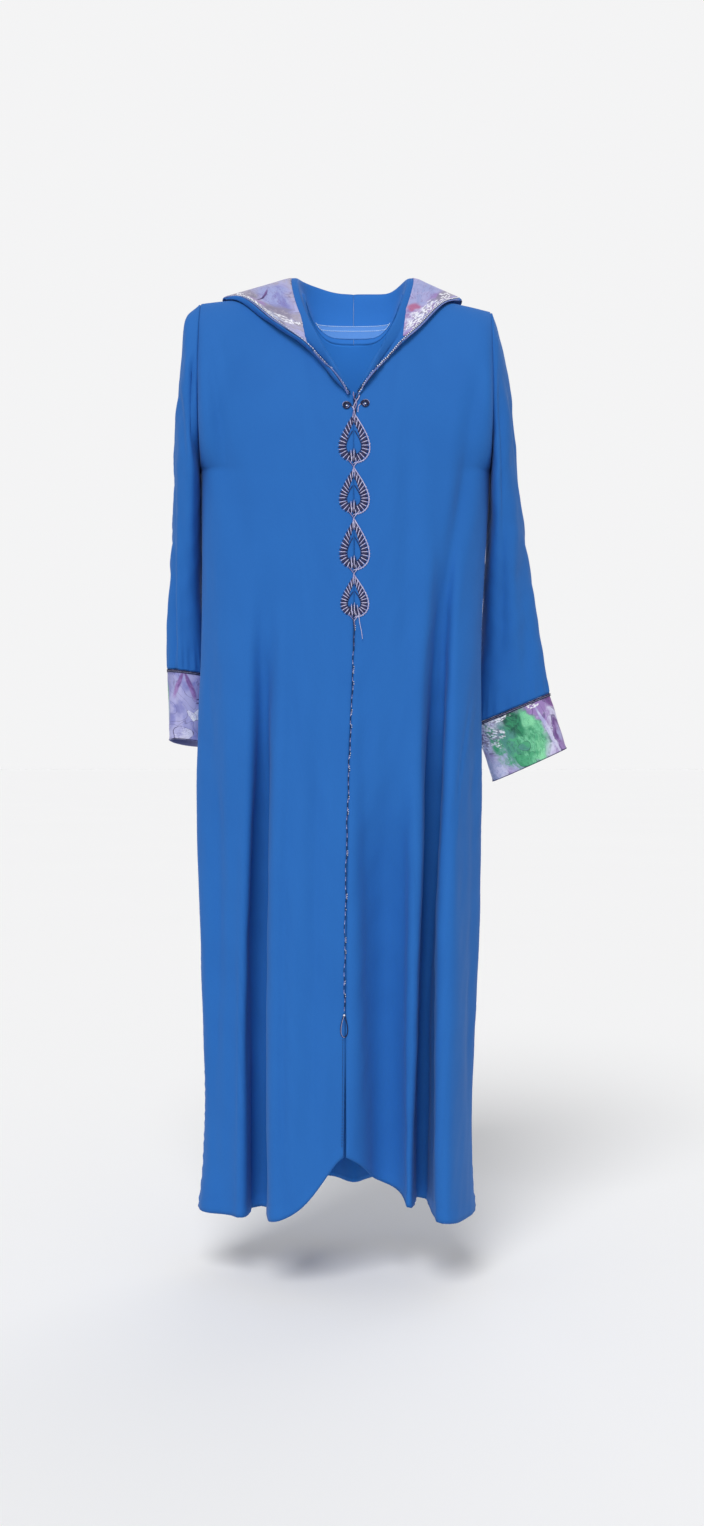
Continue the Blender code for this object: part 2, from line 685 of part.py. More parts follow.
def cuff_rings(side):
    """The cuff's rings, carried on from the end of the sleeve."""
    end = SLEEVES[side][-1]
    cuff = CUFFS[side]
    rings = []
    for f in (0.0, 0.5, 1.0):
        rings.append(SleeveRing(
            end.out_x + cuff.out_drop[0] * f,
            end.out_z - SEAM_GAP * 2.0 + cuff.out_drop[1] * f,
            end.in_x + cuff.in_drop[0] * f,
            end.in_z - SEAM_GAP * 2.0 + cuff.in_drop[1] * f,
            end.y,
            mix(end.deep, cuff.deep, f),
        ))
    return rings


def add_cuff(side):
    """One printed cuff and the braid that lies over its seam."""
    rings = cuff_rings(side)
    label = SIDE_NAMES[side]
    columns = [i / SLEEVE_COLUMNS for i in range(SLEEVE_COLUMNS)]
    rows = [[sleeve_point(rings, around, place) for around in columns] for place in range(3)]
    add_cloth(f"cuff_{label}", grid_mesh("cuff", rows, closed=True), PRINT, WALL, flip=side == LEFT)
    height = CUFF_BRAID_HEIGHT / abs(CUFFS[side].out_drop[1]) * 2.0
    rows = []
    for place in (CUFF_BRAID_PLACE, CUFF_BRAID_PLACE + height):
        row = []
        for around in columns:
            point = sleeve_point(rings, around, place)
            centre = (sleeve_point(rings, 0.0, place) + sleeve_point(rings, 0.5, place)) / 2.0
            row.append(point + (point - centre).normalized() * (WALL + CUFF_BRAID_GAP))
        rows.append(row)
    mesh = grid_mesh("cuff_braid", rows, closed=True)
    add_cloth(f"cuff_braid_{label}", mesh, NAVY, BRAID_WALL, flip=side == LEFT)


def hood_shares():
    """Columns of the hood, at the columns of the panels' neckline, to just short of the V."""
    back = [HOOD_SIDE_SHARE * column for column in NECK_COLUMNS[BACK]]
    front = [1.0 - (1.0 - HOOD_SIDE_SHARE) * column for column in reversed(NECK_COLUMNS[FRONT])]
    return back + front[1:-1] + [HOOD_LAST_SHARE]


def hood_places(side, share, trees):
    """Rows of one column of the hood, with rows at the edges of the facing and of the braid."""
    last_row = hood_point(side, share, HOOD_RIM_PLACE - 1.0, trees)
    outer_span = (hood_point(side, share, HOOD_RIM_PLACE, trees) - last_row).length
    braid = HOOD_RIM_PLACE - min(EDGE_BRAID / outer_span, BRAID_MOST)
    facing_edge = braid - min(EDGE_GAP / outer_span, GAP_MOST)
    if share < HOOD_SIDE_SHARE:
        facing = mix(FACING_BACK_PLACE, FACING_SIDE_PLACE, smooth((share / HOOD_SIDE_SHARE) ** FACING_TURN))
    else:
        rest = (share - HOOD_SIDE_SHARE) / (FACING_END[side] - HOOD_SIDE_SHARE)
        facing = min(mix(FACING_SIDE_PLACE, facing_edge, rest), facing_edge - FACING_LEAST)
    last = STAND_PLACES[-1]
    fall = [mix(last, facing, i / FALL_ROWS) for i in range(1, FALL_ROWS + 1)]
    printed = [mix(facing, facing_edge, i / FACING_ROWS) for i in range(1, FACING_ROWS + 1)]
    return [*STAND_PLACES, *fall, *printed, braid, HOOD_RIM_PLACE]


def hood_rows(side, trees):
    """Rows of hood points, moved off the centre-back seam."""
    shares = hood_shares()
    places = [hood_places(side, share, trees) for share in shares]
    columns = []
    for share, column_places in zip(shares, places):
        columns.append([hood_point(side, share, place, trees) for place in column_places])
    columns = clear_faces(columns, shares, places, trees)
    columns[0] = [point + Vector((side * HOOD_SEAM_GAP / 2.0, 0.0, 0.0)) for point in columns[0]]
    return [list(row) for row in zip(*columns)]


def add_hood(side, rows):
    """One half of the hood, from the neck seam to the face edge."""
    add_cloth(f"hood_{SIDE_NAMES[side]}", grid_mesh("hood", rows), BLUE, WALL, flip=side == RIGHT)


def moved_out(rows, distance):
    """Grid of points moved along its own normals."""
    points = np.array([[tuple(point) for point in row] for row in rows])
    normal = np.cross(np.gradient(points, axis=0), np.gradient(points, axis=1))
    normal /= np.linalg.norm(normal, axis=2, keepdims=True)
    return [[Vector(point) for point in row] for row in points + normal * distance]


def add_facing(side, laid):
    """Printed facing inside one half of the hood, seen on the lapel."""
    first = len(STAND_PLACES) + FALL_ROWS - 1
    kept = [i for i, share in enumerate(hood_shares()) if share < FACING_END[side]]
    grid = [[row[i] for i in kept] for row in laid[first : first + FACING_ROWS + 1]]
    add_cloth(f"facing_{SIDE_NAMES[side]}", grid_mesh("facing", grid), PRINT, PRINT_WALL, flip=side == LEFT)


def add_edge_braid(side, laid):
    """Braid along the face edge of one half of the hood."""
    mesh = grid_mesh("hood_braid", laid[-2:])
    add_cloth(f"hood_braid_{SIDE_NAMES[side]}", mesh, NAVY, BRAID_WALL, flip=side == LEFT)


def add_neck_tape(laid):
    """Tape above the back neck seam, across the insides of both halves of the hood."""
    kept = [i for i, share in enumerate(hood_shares()) if share < TAPE_REACH]
    grid = []
    for index in TAPE_ROWS:
        right = [laid[RIGHT][index][i] for i in reversed(kept)]
        left = [laid[LEFT][index][i] for i in kept[1:]]
        grid.append(right + left)
    add_cloth("neck_tape", grid_mesh("neck_tape", grid), TAPE, BRAID_WALL, flip=True)


def front_surface(trees, x, z):
    """Depth of the front's outer face at a place, looked for from in front."""
    depths = []
    for tree in trees:
        for shift in (-0.0008, 0.0008):
            hit = tree.ray_cast(Vector((x + shift, -1.0, z)), Vector((0.0, 1.0, 0.0)))
            if hit[0] is not None:
                depths.append(hit[0].y)
    return min(depths)


def add_band(name, outlines, trees, finish):
    """Flat closed band between two outlines, laid on the front."""
    rows = []
    for outline in outlines:
        row = [Vector((x, front_surface(trees, x, z) - STITCH_LIFT, z)) for x, z in outline]
        rows.append(row)
    add_cloth(name, grid_mesh(name, rows, closed=True), finish, BRAID_WALL)


def leaf_outline(centre, top, height, width, steps):
    """Outline of a leaf: pointed at the top and round at the foot."""
    peak = max(sin(t) * sin(t / 2.0) ** LEAF_POINT for t in np.linspace(0.0, pi, 60))
    outline = []
    for i in range(steps):
        turn = 2.0 * pi * i / steps
        across = sin(turn) * abs(sin(turn / 2.0)) ** LEAF_POINT / peak
        outline.append((centre + across * width / 2.0, top - height * (1.0 - cos(turn)) / 2.0))
    return outline


def add_leaf(leaf, steps, trees):
    """One worked leaf, open in the middle."""
    centre = section_size(leaf.top).seam
    inner_top = leaf.top - LEAF_TOP_BANDS * leaf.band
    inner_height = leaf.height - LEAF_ALL_BANDS * leaf.band
    inner = leaf_outline(centre, inner_top, inner_height, leaf.width - 2.0 * leaf.band, steps)
    outer = leaf_outline(centre, leaf.top, leaf.height, leaf.width, steps)
    add_band(leaf.name, (outer, inner), trees, SILVER)


def add_curl(side, trees):
    """Small round curl beside the point of the V."""
    shift, z = CURL_PLACE[side]
    x = section_size(z).seam + shift
    turns = [2.0 * pi * i / CURL_STEPS for i in range(CURL_STEPS)]
    outlines = []
    for radius in (CURL_RADIUS, CURL_RADIUS - CURL_BAND):
        outlines.append([(x + radius * sin(turn), z + radius * cos(turn)) for turn in turns])
    add_band(f"curl_{SIDE_NAMES[side]}", outlines, trees, SILVER)


def add_front_braid(trees):
    """Fine braid over the centre-front seam, from the last leaf to the slit."""
    rows = []
    for i in range(BRAID_ROWS + 1):
        z = mix(BRAID_TOP, BRAID_FOOT, i / BRAID_ROWS)
        x = section_size(z).seam
        y = front_surface(trees, x, z) - STITCH_LIFT
        rows.append([Vector((x - BRAID_HALF, y, z)), Vector((x + BRAID_HALF, y, z))])
    add_cloth("front_braid", grid_mesh("front_braid", rows), SILVER, BRAID_WALL)


def add_tail(name, trees, finish):
    """Loose thread end, a thin tube that hangs down over the embroidery."""
    route = [Vector((x, front_surface(trees, x, z) - TAIL_LIFT, z)) for x, z in TAILS[name]]
    curve = bpy.data.curves.new(name, "CURVE")
    curve.dimensions = "3D"
    curve.bevel_depth = TAIL_DIAMETER / 2.0
    curve.bevel_resolution = 2
    curve.use_fill_caps = True
    spline = curve.splines.new("POLY")
    spline.points.add(TAIL_STEPS - 1)
    for i, point in enumerate(spline.points):
        point.co = (*catmull(route, (len(route) - 1) * i / (TAIL_STEPS - 1)), 1.0)
    curve.materials.append(material(finish))
    bpy.data.collections[NAME].objects.link(bpy.data.objects.new(name, curve))


def main():
    """Build every piece of the robe."""
    clear_scene()
    collection = bpy.data.collections.get(NAME) or bpy.data.collections.new(NAME)
    if collection.name not in bpy.context.scene.collection.children:
        bpy.context.scene.collection.children.link(collection)
    for side in (RIGHT, LEFT):
        add_front(side)
    add_back()
    for side in (RIGHT, LEFT):
        add_sleeve(side)
        add_cuff(side)
    bpy.context.view_layer.update()
    fronts = [bvh_of("front_right"), bvh_of("front_left")]
    laid = {}
    for side in (RIGHT, LEFT):
        rows = hood_rows(side, [*fronts, bvh_of("back")])
        add_hood(side, rows)
        laid[side] = moved_out(rows, -side * LAID_GAP)
        add_facing(side, laid[side])
        add_edge_braid(side, laid[side])
        add_curl(side, fronts)
    add_neck_tape(laid)
    for leaf in LEAVES:
        add_leaf(leaf, LEAF_STEPS, fronts)
    add_front_braid(fronts)
    add_leaf(KNOT, KNOT_STEPS, fronts)
    add_tail("tail_navy", fronts, NAVY)
    add_tail("tail_light", fronts, SILVER)


main()
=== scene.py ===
"""Djellaba robe: its finished cloth, printed brocade, braids and embroidery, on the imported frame.

Metres, +Z up, the front facing -Y. "right" and "left" are the wearer's, so right is -X.
"""

import logging
from dataclasses import dataclass, field
from enum import Enum, IntEnum
from math import cos, pi, sin

import bmesh
import bpy
import numpy as np
from bpy.types import Material, Node, NodeSocket, NodeTree, Object
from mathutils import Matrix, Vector
from mathutils.bvhtree import BVHTree

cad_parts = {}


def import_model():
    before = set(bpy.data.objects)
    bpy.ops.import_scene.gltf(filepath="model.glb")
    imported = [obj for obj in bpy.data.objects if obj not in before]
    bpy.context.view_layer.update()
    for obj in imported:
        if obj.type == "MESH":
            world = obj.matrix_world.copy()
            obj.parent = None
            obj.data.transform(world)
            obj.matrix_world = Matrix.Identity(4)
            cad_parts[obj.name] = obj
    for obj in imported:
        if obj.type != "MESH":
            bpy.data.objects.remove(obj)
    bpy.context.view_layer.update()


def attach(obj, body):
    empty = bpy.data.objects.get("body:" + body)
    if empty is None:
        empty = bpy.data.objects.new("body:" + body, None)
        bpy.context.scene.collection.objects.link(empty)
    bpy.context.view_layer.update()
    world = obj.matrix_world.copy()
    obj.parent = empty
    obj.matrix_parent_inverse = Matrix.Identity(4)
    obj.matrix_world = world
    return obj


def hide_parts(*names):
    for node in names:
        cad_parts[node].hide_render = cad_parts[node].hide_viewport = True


LOG = logging.getLogger("djellaba")
BODY = "root"
AHEAD = np.array([0.0, -1.0, 0.0])
Array = np.ndarray


class Side(IntEnum):
    """The wearer's two sides, as the sign of X."""

    RIGHT = -1
    LEFT = 1

    @property
    def label(self) -> str:
        """Lower-case name, as it ends a node's name."""
        return self.name.lower()


class Face(IntEnum):
    """Front and back of the robe, as the sign of Y."""

    FRONT = -1
    BACK = 1


class Facing(Enum):
    """The way that a creased surface looks."""

    FRONT = (0.0, -1.0, 0.0)
    BACK = (0.0, 1.0, 0.0)
    RIGHT = (-1.0, 0.0, 0.0)
    LEFT = (1.0, 0.0, 0.0)


def by_side(right: object, left: object) -> dict:
    """Dataclass field with a value for each of the wearer's sides."""
    return field(default_factory=lambda: {Side.RIGHT: right, Side.LEFT: left})


# --- shared maths


def within(value: Array) -> Array:
    """Value held between 0 and 1."""
    return np.clip(value, 0.0, 1.0)


def joined(*parts: Array) -> Array:
    """Parts stacked along a new last axis."""
    return np.stack(parts, axis=-1)


def smooth(t: Array) -> Array:
    """Smooth step from 0 to 1 as t goes from 0 to 1."""
    t = within(t)
    return t * t * (3.0 - 2.0 * t)


def mix(a: Array, b: Array, t: Array) -> Array:
    """Linear blend from a to b."""
    return a + (b - a) * t


def catmull(points: Array, places: Array) -> Array:
    """Catmull-Rom curve.

    Args:
        points: control points, the first axis counting them.
        places: places along the curve, counted in spans.

    Returns:
        The points at those places, on the first axis.
    """
    last = len(points) - 1
    padded = np.concatenate([[points[0] * 2 - points[1]], points, [points[-1] * 2 - points[-2]]])
    places = np.asarray(places, float)
    span = np.clip(places.astype(int), 0, last - 1)
    t = (places - span).reshape((-1,) + (1,) * (points.ndim - 1))
    p0, p1, p2, p3 = (padded[span + i] for i in range(4))
    return (
        p1
        + 0.5 * t * (p2 - p0)
        + t * t * (p0 - 2.5 * p1 + 2.0 * p2 - 0.5 * p3)
        + t * t * t * (1.5 * (p1 - p2) + 0.5 * (p3 - p0))
    )


def unit(vectors: Array) -> Array:
    """Vectors of length one, along the last axis."""
    return vectors / np.maximum(np.linalg.norm(vectors, axis=-1, keepdims=True), 1e-9)


def run_along(path: Array) -> Array:
    """Length run at each point of a path."""
    return np.concatenate([[0.0], np.cumsum(np.linalg.norm(np.diff(path, axis=0), axis=1))])


def read_at(values: Array, run: Array, at: Array) -> Array:
    """Vectors read at given lengths of a run."""
    return np.stack([np.interp(at, run, values[:, i]) for i in range(3)], axis=-1)


def spaced(path: Array, out: Array, start: float, pitch: float, spare: float = 0.0) -> tuple:
    """Evenly spaced points of a path, the way along it at each, and the way out."""
    run = run_along(path)
    at = np.arange(start, run[-1] - spare, pitch)
    centre = read_at(path, run, at)
    return centre, np.gradient(centre, axis=0), unit(read_at(np.broadcast_to(out, path.shape), run, at))


def ripple(points: Array, seed: int, length: float, upright: float = 1.0) -> Array:
    """Soft random waves, about -1 to 1, with the given wavelength; upright above 1 draws them out in Z."""
    rng = np.random.default_rng(seed)
    total = np.zeros(points.shape[:-1])
    for _ in range(9):
        way = rng.normal(size=3)
        way /= np.linalg.norm(way)
        way[2] /= upright
        total += np.sin(points @ way * (2 * pi / length) * rng.uniform(0.6, 1.7) + rng.uniform(0, 2 * pi))
    return total / 4.0


# --- cloth grids


@dataclass(frozen=True)
class Crease:
    """One crease, placed by its two ends as they are seen from one side.

    start and end are (x, z) seen from the front or back and (y, z) from the sides. depth is how far the
    cloth goes in, or out where it is negative, and bow how far the middle bends to the right.
    """

    facing: Facing
    start: tuple
    end: tuple
    width: float
    depth: float
    bow: float = 0.0

    def push(self, points: Array, normals: Array) -> Array:
        """How far each point goes in."""
        way = np.array(self.facing.value)
        across = 0 if way[0] == 0.0 else 1
        flat = points[..., [across, 2]]
        start = np.array(self.start)
        line = np.array(self.end) - start
        length = np.linalg.norm(line)
        along = (flat - start) @ line / length**2
        offset = (flat - start) @ np.array([-line[1], line[0]]) / length
        offset = offset - self.bow * 4.0 * along * (1.0 - along)
        taper = smooth(along * 3.0 + 0.15) * smooth((1.0 - along) * 2.5 + 0.15)
        near = offset / self.width
        shape = np.exp(-(near**2)) - 0.35 * np.exp(-((np.abs(near) - 1.9) ** 2))
        seen = within(normals @ way) ** 0.6
        return self.depth * shape * taper * seen


def seen_from(facing: Facing, rows: tuple) -> tuple:
    """Creases seen from one side, from rows of start, end, width, depth and bow."""
    return tuple(Crease(facing, row[0:2], row[2:4], *row[4:]) for row in rows)


@dataclass
class Cloth:
    """Grid of points on a piece of cloth, rows by columns, wrapping round where it is closed.

    outward is the sign that turns the grid's own normals to the side that shows.
    """

    points: Array
    outward: int = 1
    closed: bool = False

    def normals(self) -> Array:
        """Unit normals on the side that shows."""
        points = self.points
        if self.closed:
            wide = np.concatenate([points[:, -1:], points, points[:, :1]], axis=1)
            across = np.gradient(wide, axis=1)[:, 1:-1]
        else:
            across = np.gradient(points, axis=1)
        return unit(np.cross(np.gradient(points, axis=0), across)) * self.outward

    def moved(self, distance: Array) -> "Cloth":
        """The same cloth, moved out by a distance."""
        distance = np.asarray(distance)
        if distance.ndim:
            distance = distance[..., None]
        return Cloth(self.points + self.normals() * distance, self.outward, self.closed)

    def creased(self, creases: tuple) -> "Cloth":
        """The same cloth with its creases."""
        normals = self.normals()
        pushes = (crease.push(self.points, normals) for crease in creases)
        total = sum(pushes, np.zeros(self.points.shape[:2]))
        return Cloth(self.points - normals * total[..., None], self.outward, self.closed)

    def lengths(self) -> Array:
        """The cloth's own lengths at each point, across and down, in metres."""
        points = np.concatenate([self.points, self.points[:, :1]], axis=1) if self.closed else self.points
        across = np.linalg.norm(np.diff(points, axis=1), axis=2)
        down = np.linalg.norm(np.diff(points, axis=0), axis=2)
        u = np.concatenate([np.zeros((len(points), 1)), np.cumsum(across, axis=1)], axis=1)
        v = np.concatenate([np.zeros((1, points.shape[1])), np.cumsum(down, axis=0)], axis=0)
        return joined(u, v)

    def build(self, name: str, materials: tuple, wall: float, uv: Array = None) -> Object:
        """Make the piece.

        Args:
            name: the object's name.
            materials: the material that shows and, where it differs, the one inside.
            wall: the cloth's thickness, laid on the hidden side.
            uv: the print's own lengths at each point, where they aren't the grid's.

        Returns:
            The new object.
        """
        rows, columns = self.points.shape[:2]
        index = np.arange(rows * columns).reshape(rows, columns)
        if self.closed:
            index = np.concatenate([index, index[:, :1]], axis=1)
        uv = self.lengths() if uv is None else uv
        corners = ((slice(None, -1), slice(None, -1)), (slice(1, None), slice(None, -1)),
                   (slice(1, None), slice(1, None)), (slice(None, -1), slice(1, None)))
        quads = np.stack([index[c] for c in corners], axis=-1).reshape(-1, 4)
        uvs = np.stack([uv[c] for c in corners], axis=2).reshape(-1, 4, 2)
        if self.outward < 0:
            quads = quads[:, ::-1]
            uvs = uvs[:, ::-1]
        obj = mesh_object(name, self.points.reshape(-1, 3), quads, materials)
        layer = obj.data.uv_layers.new(name="cloth")
        layer.data.foreach_set("uv", np.ascontiguousarray(uvs).ravel())
        solid = obj.modifiers.new("wall", "SOLIDIFY")
        solid.thickness = wall
        solid.offset = -1.0
        solid.use_even_offset = False
        if len(materials) > 1:
            solid.material_offset = 1
        return obj


def mesh_object(name: str, points: Array, quads: Array, materials: tuple) -> Object:
    """Smooth mesh object from points and four-cornered faces."""
    mesh = bpy.data.meshes.new(name)
    mesh.vertices.add(len(points))
    mesh.vertices.foreach_set("co", np.ascontiguousarray(points, dtype=np.float32).ravel())
    mesh.loops.add(quads.size)
    mesh.loops.foreach_set("vertex_index", np.ascontiguousarray(quads, dtype=np.int32).ravel())
    mesh.polygons.add(len(quads))
    mesh.polygons.foreach_set("loop_start", np.arange(0, quads.size, 4, dtype=np.int32))
    mesh.update(calc_edges=True)
    mesh.shade_smooth()
    for material in materials:
        mesh.materials.append(material)
    obj = bpy.data.objects.new(name, mesh)
    bpy.context.scene.collection.objects.link(obj)
    return obj


def tree_of(cloths: list) -> BVHTree:
    """Search tree of some cloth grids."""
    points = []
    faces = []
    for cloth in cloths:
        rows, columns = cloth.points.shape[:2]
        index = np.arange(rows * columns).reshape(rows, columns) + len(points)
        points.extend(map(tuple, cloth.points.reshape(-1, 3)))
        quads = joined(index[:-1, :-1], index[1:, :-1], index[1:, 1:], index[:-1, 1:])
        faces.extend(map(tuple, quads.reshape(-1, 4).tolist()))
    return BVHTree.FromPolygons(points, faces)


# --- the robe's form


@dataclass(frozen=True)
class Section:
    """Horizontal section of the body: seam is the x of the centre-front seam."""

    z: float
    seam: float
    right: float
    left: float
    front: float
    back: float


@dataclass(frozen=True)
class Fold:
    """Long fold that hangs down one face: push is how far it goes in at the hem."""

    top_x: float
    hem_x: float
    start: float
    push: float
    width: float
    steep: float = 2.0


@dataclass
class RobeForm:
    """The body of the robe as one formula: sections, folds, shoulders, neckline, armholes and hem."""

    sections: tuple = (
        Section(-0.255, 0.0115, -0.215, 0.214, 0.105, 0.106),
        Section(-0.52, 0.0115, -0.2145, 0.2015, 0.112, 0.11),
        Section(-0.75, 0.003, -0.22, 0.199, 0.116, 0.114),
        Section(-0.93, -0.001, -0.2165, 0.1965, 0.119, 0.118),
        Section(-1.17, -0.003, -0.209, 0.188, 0.124, 0.123),
        Section(-1.29, -0.004, -0.2115, 0.1875, 0.127, 0.126),
        Section(-1.36, -0.004, -0.2195, 0.1925, 0.13, 0.128),
    )
    folds: dict = field(default_factory=lambda: {
        Face.FRONT: (
            Fold(-0.108, -0.129, -0.34, 0.072, 0.0175, 2.8),
            Fold(-0.165, -0.176, -0.6, 0.045, 0.045),
            Fold(0.15, 0.1135, -0.28, 0.1, 0.016, 3.6),
            Fold(0.175, 0.155, -0.4, -0.03, 0.028),
            Fold(0.04, 0.046, -0.66, 0.042, 0.036),
            Fold(-0.012, -0.01, -0.45, 0.005, 0.022),
            Fold(0.06, 0.066, -0.3, 0.01, 0.024),
        ),
        Face.BACK: (
            Fold(-0.12, -0.135, -0.45, 0.05, 0.02),
            Fold(-0.08, -0.09, -0.5, -0.014, 0.03),
            Fold(0.02, 0.012, -0.55, 0.044, 0.024),
            Fold(0.06, 0.068, -0.6, -0.012, 0.028),
            Fold(0.118, 0.122, -0.4, 0.052, 0.019),
        ),
    })
    boxiness: dict = field(default_factory=lambda: {Face.FRONT: 2.5, Face.BACK: 2.2})
    front_hem: float = -1.358
    back_hem: float = -1.345
    corner_rise: float = 0.100
    corner_width: dict = by_side(0.052, 0.075)
    tip_x: dict = by_side(-0.2155, 0.2145)
    tip_z: dict = by_side(-0.009, -0.021)
    shoulder_z: float = 0.008
    neck_x: dict = by_side(-0.062, 0.086)
    underarm_z: float = -0.255
    chest_z: float = -0.290
    armhole_deep: float = 0.066
    neck_point_z: float = -0.170
    neck_back_z: float = -0.052
    neck_knee_z: float = -0.045
    yoke_fall: dict = field(default_factory=lambda: {Face.FRONT: 1.25, Face.BACK: 1.0})
    neck_share: float = 0.27
    armhole_share: float = 0.26
    pull_start: float = 0.40
    steps: int = 240
    levels: int = 280
    table_shares: int = 201

    def __post_init__(self) -> None:
        """Work out the table of sections, even in height and along the cloth."""
        self.heights = np.linspace(-0.24, -1.372, self.levels)
        rows = np.array([[s.seam, s.right, s.left, s.front, s.back] for s in self.sections])
        depths = [-s.z for s in self.sections]
        places = np.interp(-self.heights, depths, range(len(depths)))
        self.sizes = catmull(rows, places)
        even = np.linspace(0.0, 1.0, self.table_shares)
        self.table = {}
        for side in Side:
            for face in Face:
                lines = []
                for z, size in zip(self.heights, self.sizes):
                    x, y = self.outline(side, face, z, size)
                    run = np.concatenate([[0.0], np.cumsum(np.hypot(np.diff(x), np.diff(y)))])
                    share = run / run[-1]
                    lines.append(joined(np.interp(even, share, x), np.interp(even, share, y)))
                self.table[side, face] = np.array(lines)

    def outline(self, side: Side, face: Face, z: float, size: Array) -> tuple:
        """One quarter of the section at height z, from the centre seam to the side seam."""
        seam, right, left, front, back = size
        edge = right if side == Side.RIGHT else left
        depth = front if face == Face.FRONT else back
        power = 2.0 / self.boxiness[face]
        turn = np.linspace(0.0, pi / 2.0, self.steps)
        x = seam + (edge - seam) * np.sin(turn) ** power
        hold = within(np.cos(turn))
        push = np.zeros_like(x)
        for fold in self.folds[face]:
            down = (fold.start - z) / (fold.start - self.front_hem)
            if down > 0.0:
                centre = fold.hem_x + (fold.top_x - fold.hem_x) * (1.0 - min(down, 1.0)) ** 2
                depth_here = fold.push * smooth(down * 4.0) * min(down, 1.0) ** 0.8
                push += depth_here * np.exp(-(np.abs((x - centre) / fold.width) ** fold.steep))
        return x, face * (depth * hold**power - push * hold**0.35)

    def seam_x(self, z: Array) -> Array:
        """The x of the centre-front seam at height z."""
        return np.interp(-np.asarray(z), -self.heights, self.sizes[:, 0])

    def ring(self, side: Side, face: Face, share: Array, z: Array) -> Array:
        """Points of the body at heights z, at shares of the section's length from the centre."""
        table = self.table[side, face]
        level = np.clip((z - self.heights[0]) / (self.heights[1] - self.heights[0]), 0, self.levels - 1.001)
        place = np.clip(share * (self.table_shares - 1), 0, self.table_shares - 1.001)
        i = level.astype(int)
        j = place.astype(int)
        f = (level - i)[..., None]
        g = (place - j)[..., None]
        flat = mix(mix(table[i, j], table[i, j + 1], g), mix(table[i + 1, j], table[i + 1, j + 1], g), f)
        return np.concatenate([flat, np.broadcast_to(z, share.shape)[..., None]], axis=-1)

    def point(self, side: Side, face: Face, share: Array, down: Array) -> Array:
        """Points of one body panel.

        Args:
            side: the half of the panel.
            face: front or back.
            share: from 0 at the centre to 1 at the side.
            down: from 0 at the top edge to 1 at the hem.

        Returns:
            The points, with the shape of share and down and three more numbers.
        """
        share, down = np.broadcast_arrays(np.asarray(share, float), np.asarray(down, float))
        chest = mix(self.chest_z, self.underarm_z, share)
        foot = self.ring(side, face, share, np.full_like(share, self.front_hem))
        away = np.abs(foot[..., 0] - self.sizes[-1, 0])
        if face == Face.FRONT:
            hem = self.front_hem + self.corner_rise * np.exp(-((away / self.corner_width[side]) ** 1.5))
        else:
            hem = mix(self.back_hem, self.front_hem, share**2)
        fall = within((down - self.armhole_share) / (1.0 - self.armhole_share))
        lower = self.ring(side, face, share, mix(chest, hem, fall))
        upper = self.yoke(side, face, share, within(down / self.armhole_share), chest)
        return np.where((down < self.armhole_share)[..., None], upper, lower)

    def yoke(self, side: Side, face: Face, share: Array, rise: Array, chest: Array) -> Array:
        """Points above the chest: the shoulder curve, pulled out to the armhole near its edge."""
        out = within(share / self.neck_share)
        if face == Face.FRONT:
            height = mix(self.neck_point_z, self.neck_knee_z, out**0.96)
            height = height + (self.shoulder_z - self.neck_knee_z) * out**8
        else:
            height = mix(self.neck_back_z, self.shoulder_z, out**4)
        drop = (self.shoulder_z - height) / (self.shoulder_z - chest)
        start = np.where(share < self.neck_share, np.arccos(np.clip(1.0 - drop, -1.0, 1.0)) * 2.0 / pi, 0.0)
        down = mix(start, 1.0, rise)
        turn = down * pi / 2.0
        low = self.ring(side, face, share, chest)
        marks = [0.0, self.neck_share, 1.0]
        ridge_x = np.interp(share, marks, [self.sections[0].seam, self.neck_x[side], self.tip_x[side]])
        ridge_z = np.interp(share, marks, [self.shoulder_z, self.shoulder_z, self.tip_z[side]])
        x = mix(ridge_x, low[..., 0], np.sin(turn) ** 0.8)
        y = low[..., 1] * np.sin(turn) ** self.yoke_fall[face]
        z = mix(ridge_z, low[..., 2], 1.0 - np.cos(turn))
        edge_z = mix(self.tip_z[side], self.underarm_z, 1.0 - np.cos(turn))
        arm_z = mix(self.tip_z[side], self.underarm_z, (1.0 - np.cos(pi * down)) / 2.0)
        pull = smooth((share - self.pull_start) / (1.0 - self.pull_start))
        y = y + pull * face * self.armhole_deep * np.sin(pi * down)
        z = z + pull * (arm_z - edge_z)
        return joined(x, y, z)

    def neck_seam(self, side: Side, share: Array) -> Array:
        """Neck seam from the centre back at 0, over the shoulder at a half, to the V's point at 1."""
        back = self.point(side, Face.BACK, self.neck_share * within(share * 2.0), 0.0)
        front = self.point(side, Face.FRONT, self.neck_share * within(2.0 - share * 2.0), 0.0)
        return np.where((share < 0.5)[..., None], back, front)


# --- shader groups and finishes


